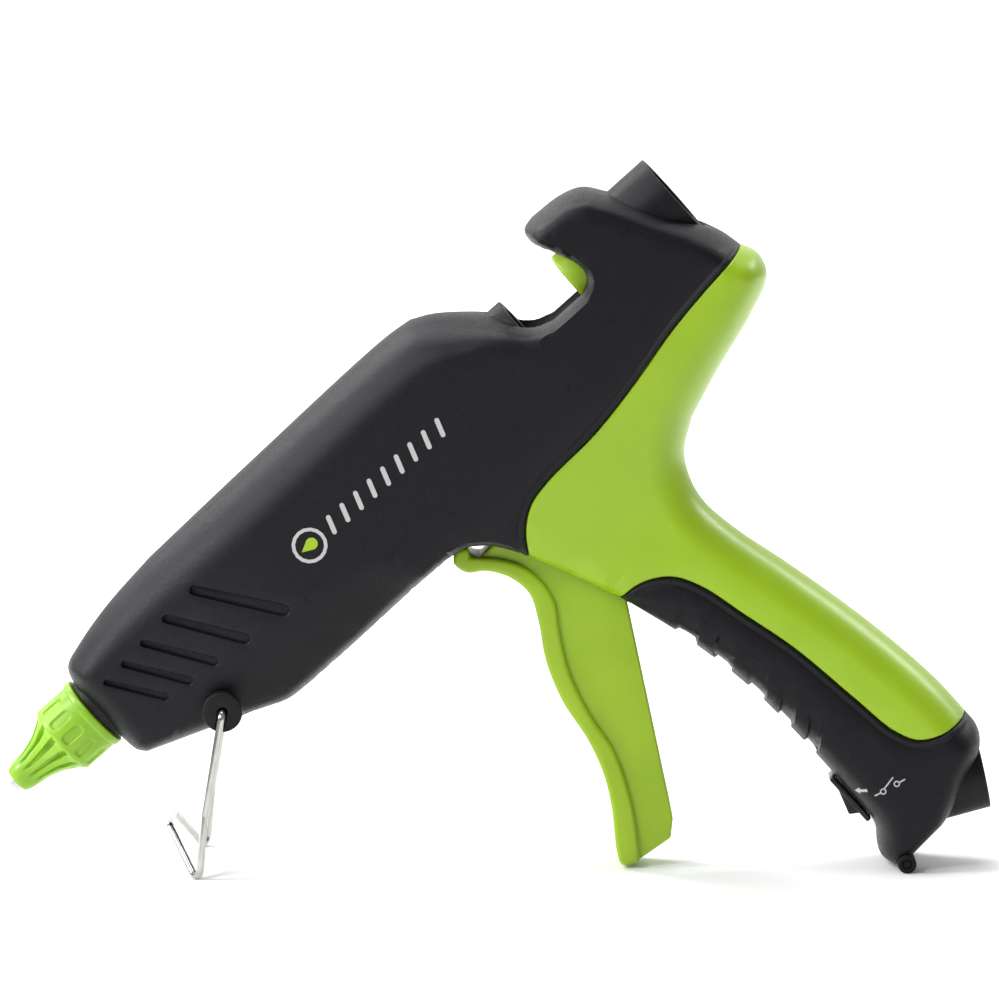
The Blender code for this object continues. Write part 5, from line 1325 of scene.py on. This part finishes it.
def markings():
    barrel_marks = [bar((131 + 5.6 * i, -6.2), (132.6 + 5.6 * i, -1.6), 0.75) for i in range(9)]
    inlay("barrel_print", barrel_marks + ring(122.5, -4.2, 5.0, 0.55), "marking")
    inlay("barrel_drop", [drop_outline(123.3, -4.2, 1.9, 4.0)], "green_housing")
    symbol = (204.4, -180.6, radians(-12))
    strokes = [((-5.2, 0), (-3.2, 0)), ((3.2, 0), (5.2, 0)), ((-1.9, 0.55), (2.3, 2.3))]
    switch = [bar(start, end, 0.22) for start, end in strokes]
    switch += ring(-2.4, 0, 0.8, 0.2) + ring(2.4, 0, 0.8, 0.2)
    arrow = [(0, 0), (1.5, 1.15), (1.5, 0.5), (3.7, 0.5), (3.7, -0.5), (1.5, -0.5), (1.5, -1.15)]
    marks = [placed(outline, *symbol) for outline in switch] + [placed(arrow, 195.3, -174.9, radians(-31))]
    inlay("switch_print", marks, "marking")


def keep_nodes():
    """Inner CAD nodes stay as they are, in better materials."""
    slots = {entry["node"]: entry["material_slot"] for entry in frame["record"]["subparts"]}
    for name, node in frame["nodes"].items():
        node.data.materials.clear()
        node.data.materials.append(FINISHES[slots[name]])
        node.data.shade_smooth()
        node.data.set_sharp_from_angle(angle=radians(35))


# ---- studio -----------------------------------------------------------------
def studio():
    """Pale floor that sweeps up into a backdrop, soft lights and the camera."""
    low, high = cad_box
    middle_x = (low[0] + high[0]) / 2
    bm = bmesh.new()
    sweep_start, sweep_radius, reach = 3.0, 0.9, 6.0
    profile = [(-reach, 0), (sweep_start, 0)]
    profile += [(sweep_start + sweep_radius * sin(a), sweep_radius - sweep_radius * cos(a))
                for a in np.linspace(0.1, pi / 2, 14)]
    profile.append((sweep_start + sweep_radius, 4.5))
    rows = [[bm.verts.new((x, y, low[2] + z)) for y, z in profile] for x in (-reach, reach)]
    for i in range(len(profile) - 1):
        bm.faces.new((rows[0][i], rows[1][i], rows[1][i + 1], rows[0][i + 1]))
    mesh = mesh_from(bm, "floor")
    mesh.shade_smooth()
    floor = bpy.data.objects.new("floor", mesh)
    floor.data.materials.append(Nodes("pale_floor", (0.93, 0.93, 0.93), 0.7).material)
    bpy.context.scene.collection.objects.link(floor)

    world = bpy.data.worlds.new("studio")
    bpy.context.scene.world = world
    world.use_nodes = True
    world.node_tree.nodes["Background"].inputs["Color"].default_value = (1, 1, 1, 1)
    world.node_tree.nodes["Background"].inputs["Strength"].default_value = 0.3
    bpy.context.scene.view_settings.view_transform = "Standard"

    gun = Vector((middle_x, 0, 0.12))
    wall = Vector((0, 2.7, 0.1))
    for name, place, target, size, power in (
            ("key", (-1.0, -1.25, 1.35), gun, 0.6, 16), ("side", (-1.7, -0.25, 0.9), gun, 0.5, 26),
            ("top", (-0.1, 0.35, 1.5), gun, 1.1, 16), ("back", (-0.9, 1.0, 1.4), gun, 0.7, 6),
            ("wall_left", (-1.3, 1.1, 1.2), wall, 0.8, 45), ("wall_right", (1.3, 1.1, 1.2), wall, 0.8, 45)):
        light = bpy.data.lights.new(name, "AREA")
        light.size = size
        light.energy = power
        lamp = bpy.data.objects.new(name, light)
        lamp.location = place
        lamp.rotation_euler = (target - lamp.location).to_track_quat("-Z", "Y").to_euler()
        bpy.context.scene.collection.objects.link(lamp)

    elevation, distance, width = radians(7.5), 2.1, 0.3097
    aim = Vector((0.0003, 0, 0.1143))
    camera = bpy.data.cameras.new("camera")
    camera.sensor_width = 36
    camera.lens = camera.sensor_width * distance / width
    view = bpy.data.objects.new("camera", camera)
    view.location = aim + distance * Vector((0, -cos(elevation), sin(elevation)))
    view.rotation_euler = (aim - view.location).to_track_quat("-Z", "Y").to_euler()
    bpy.context.scene.collection.objects.link(view)
    bpy.context.scene.camera = view


keep_nodes()
studio()
casing()
nozzle()
stick_way()
carriage()
trigger()
stand()
rear_foot()
switch()
cord_socket()
screws()
markings()
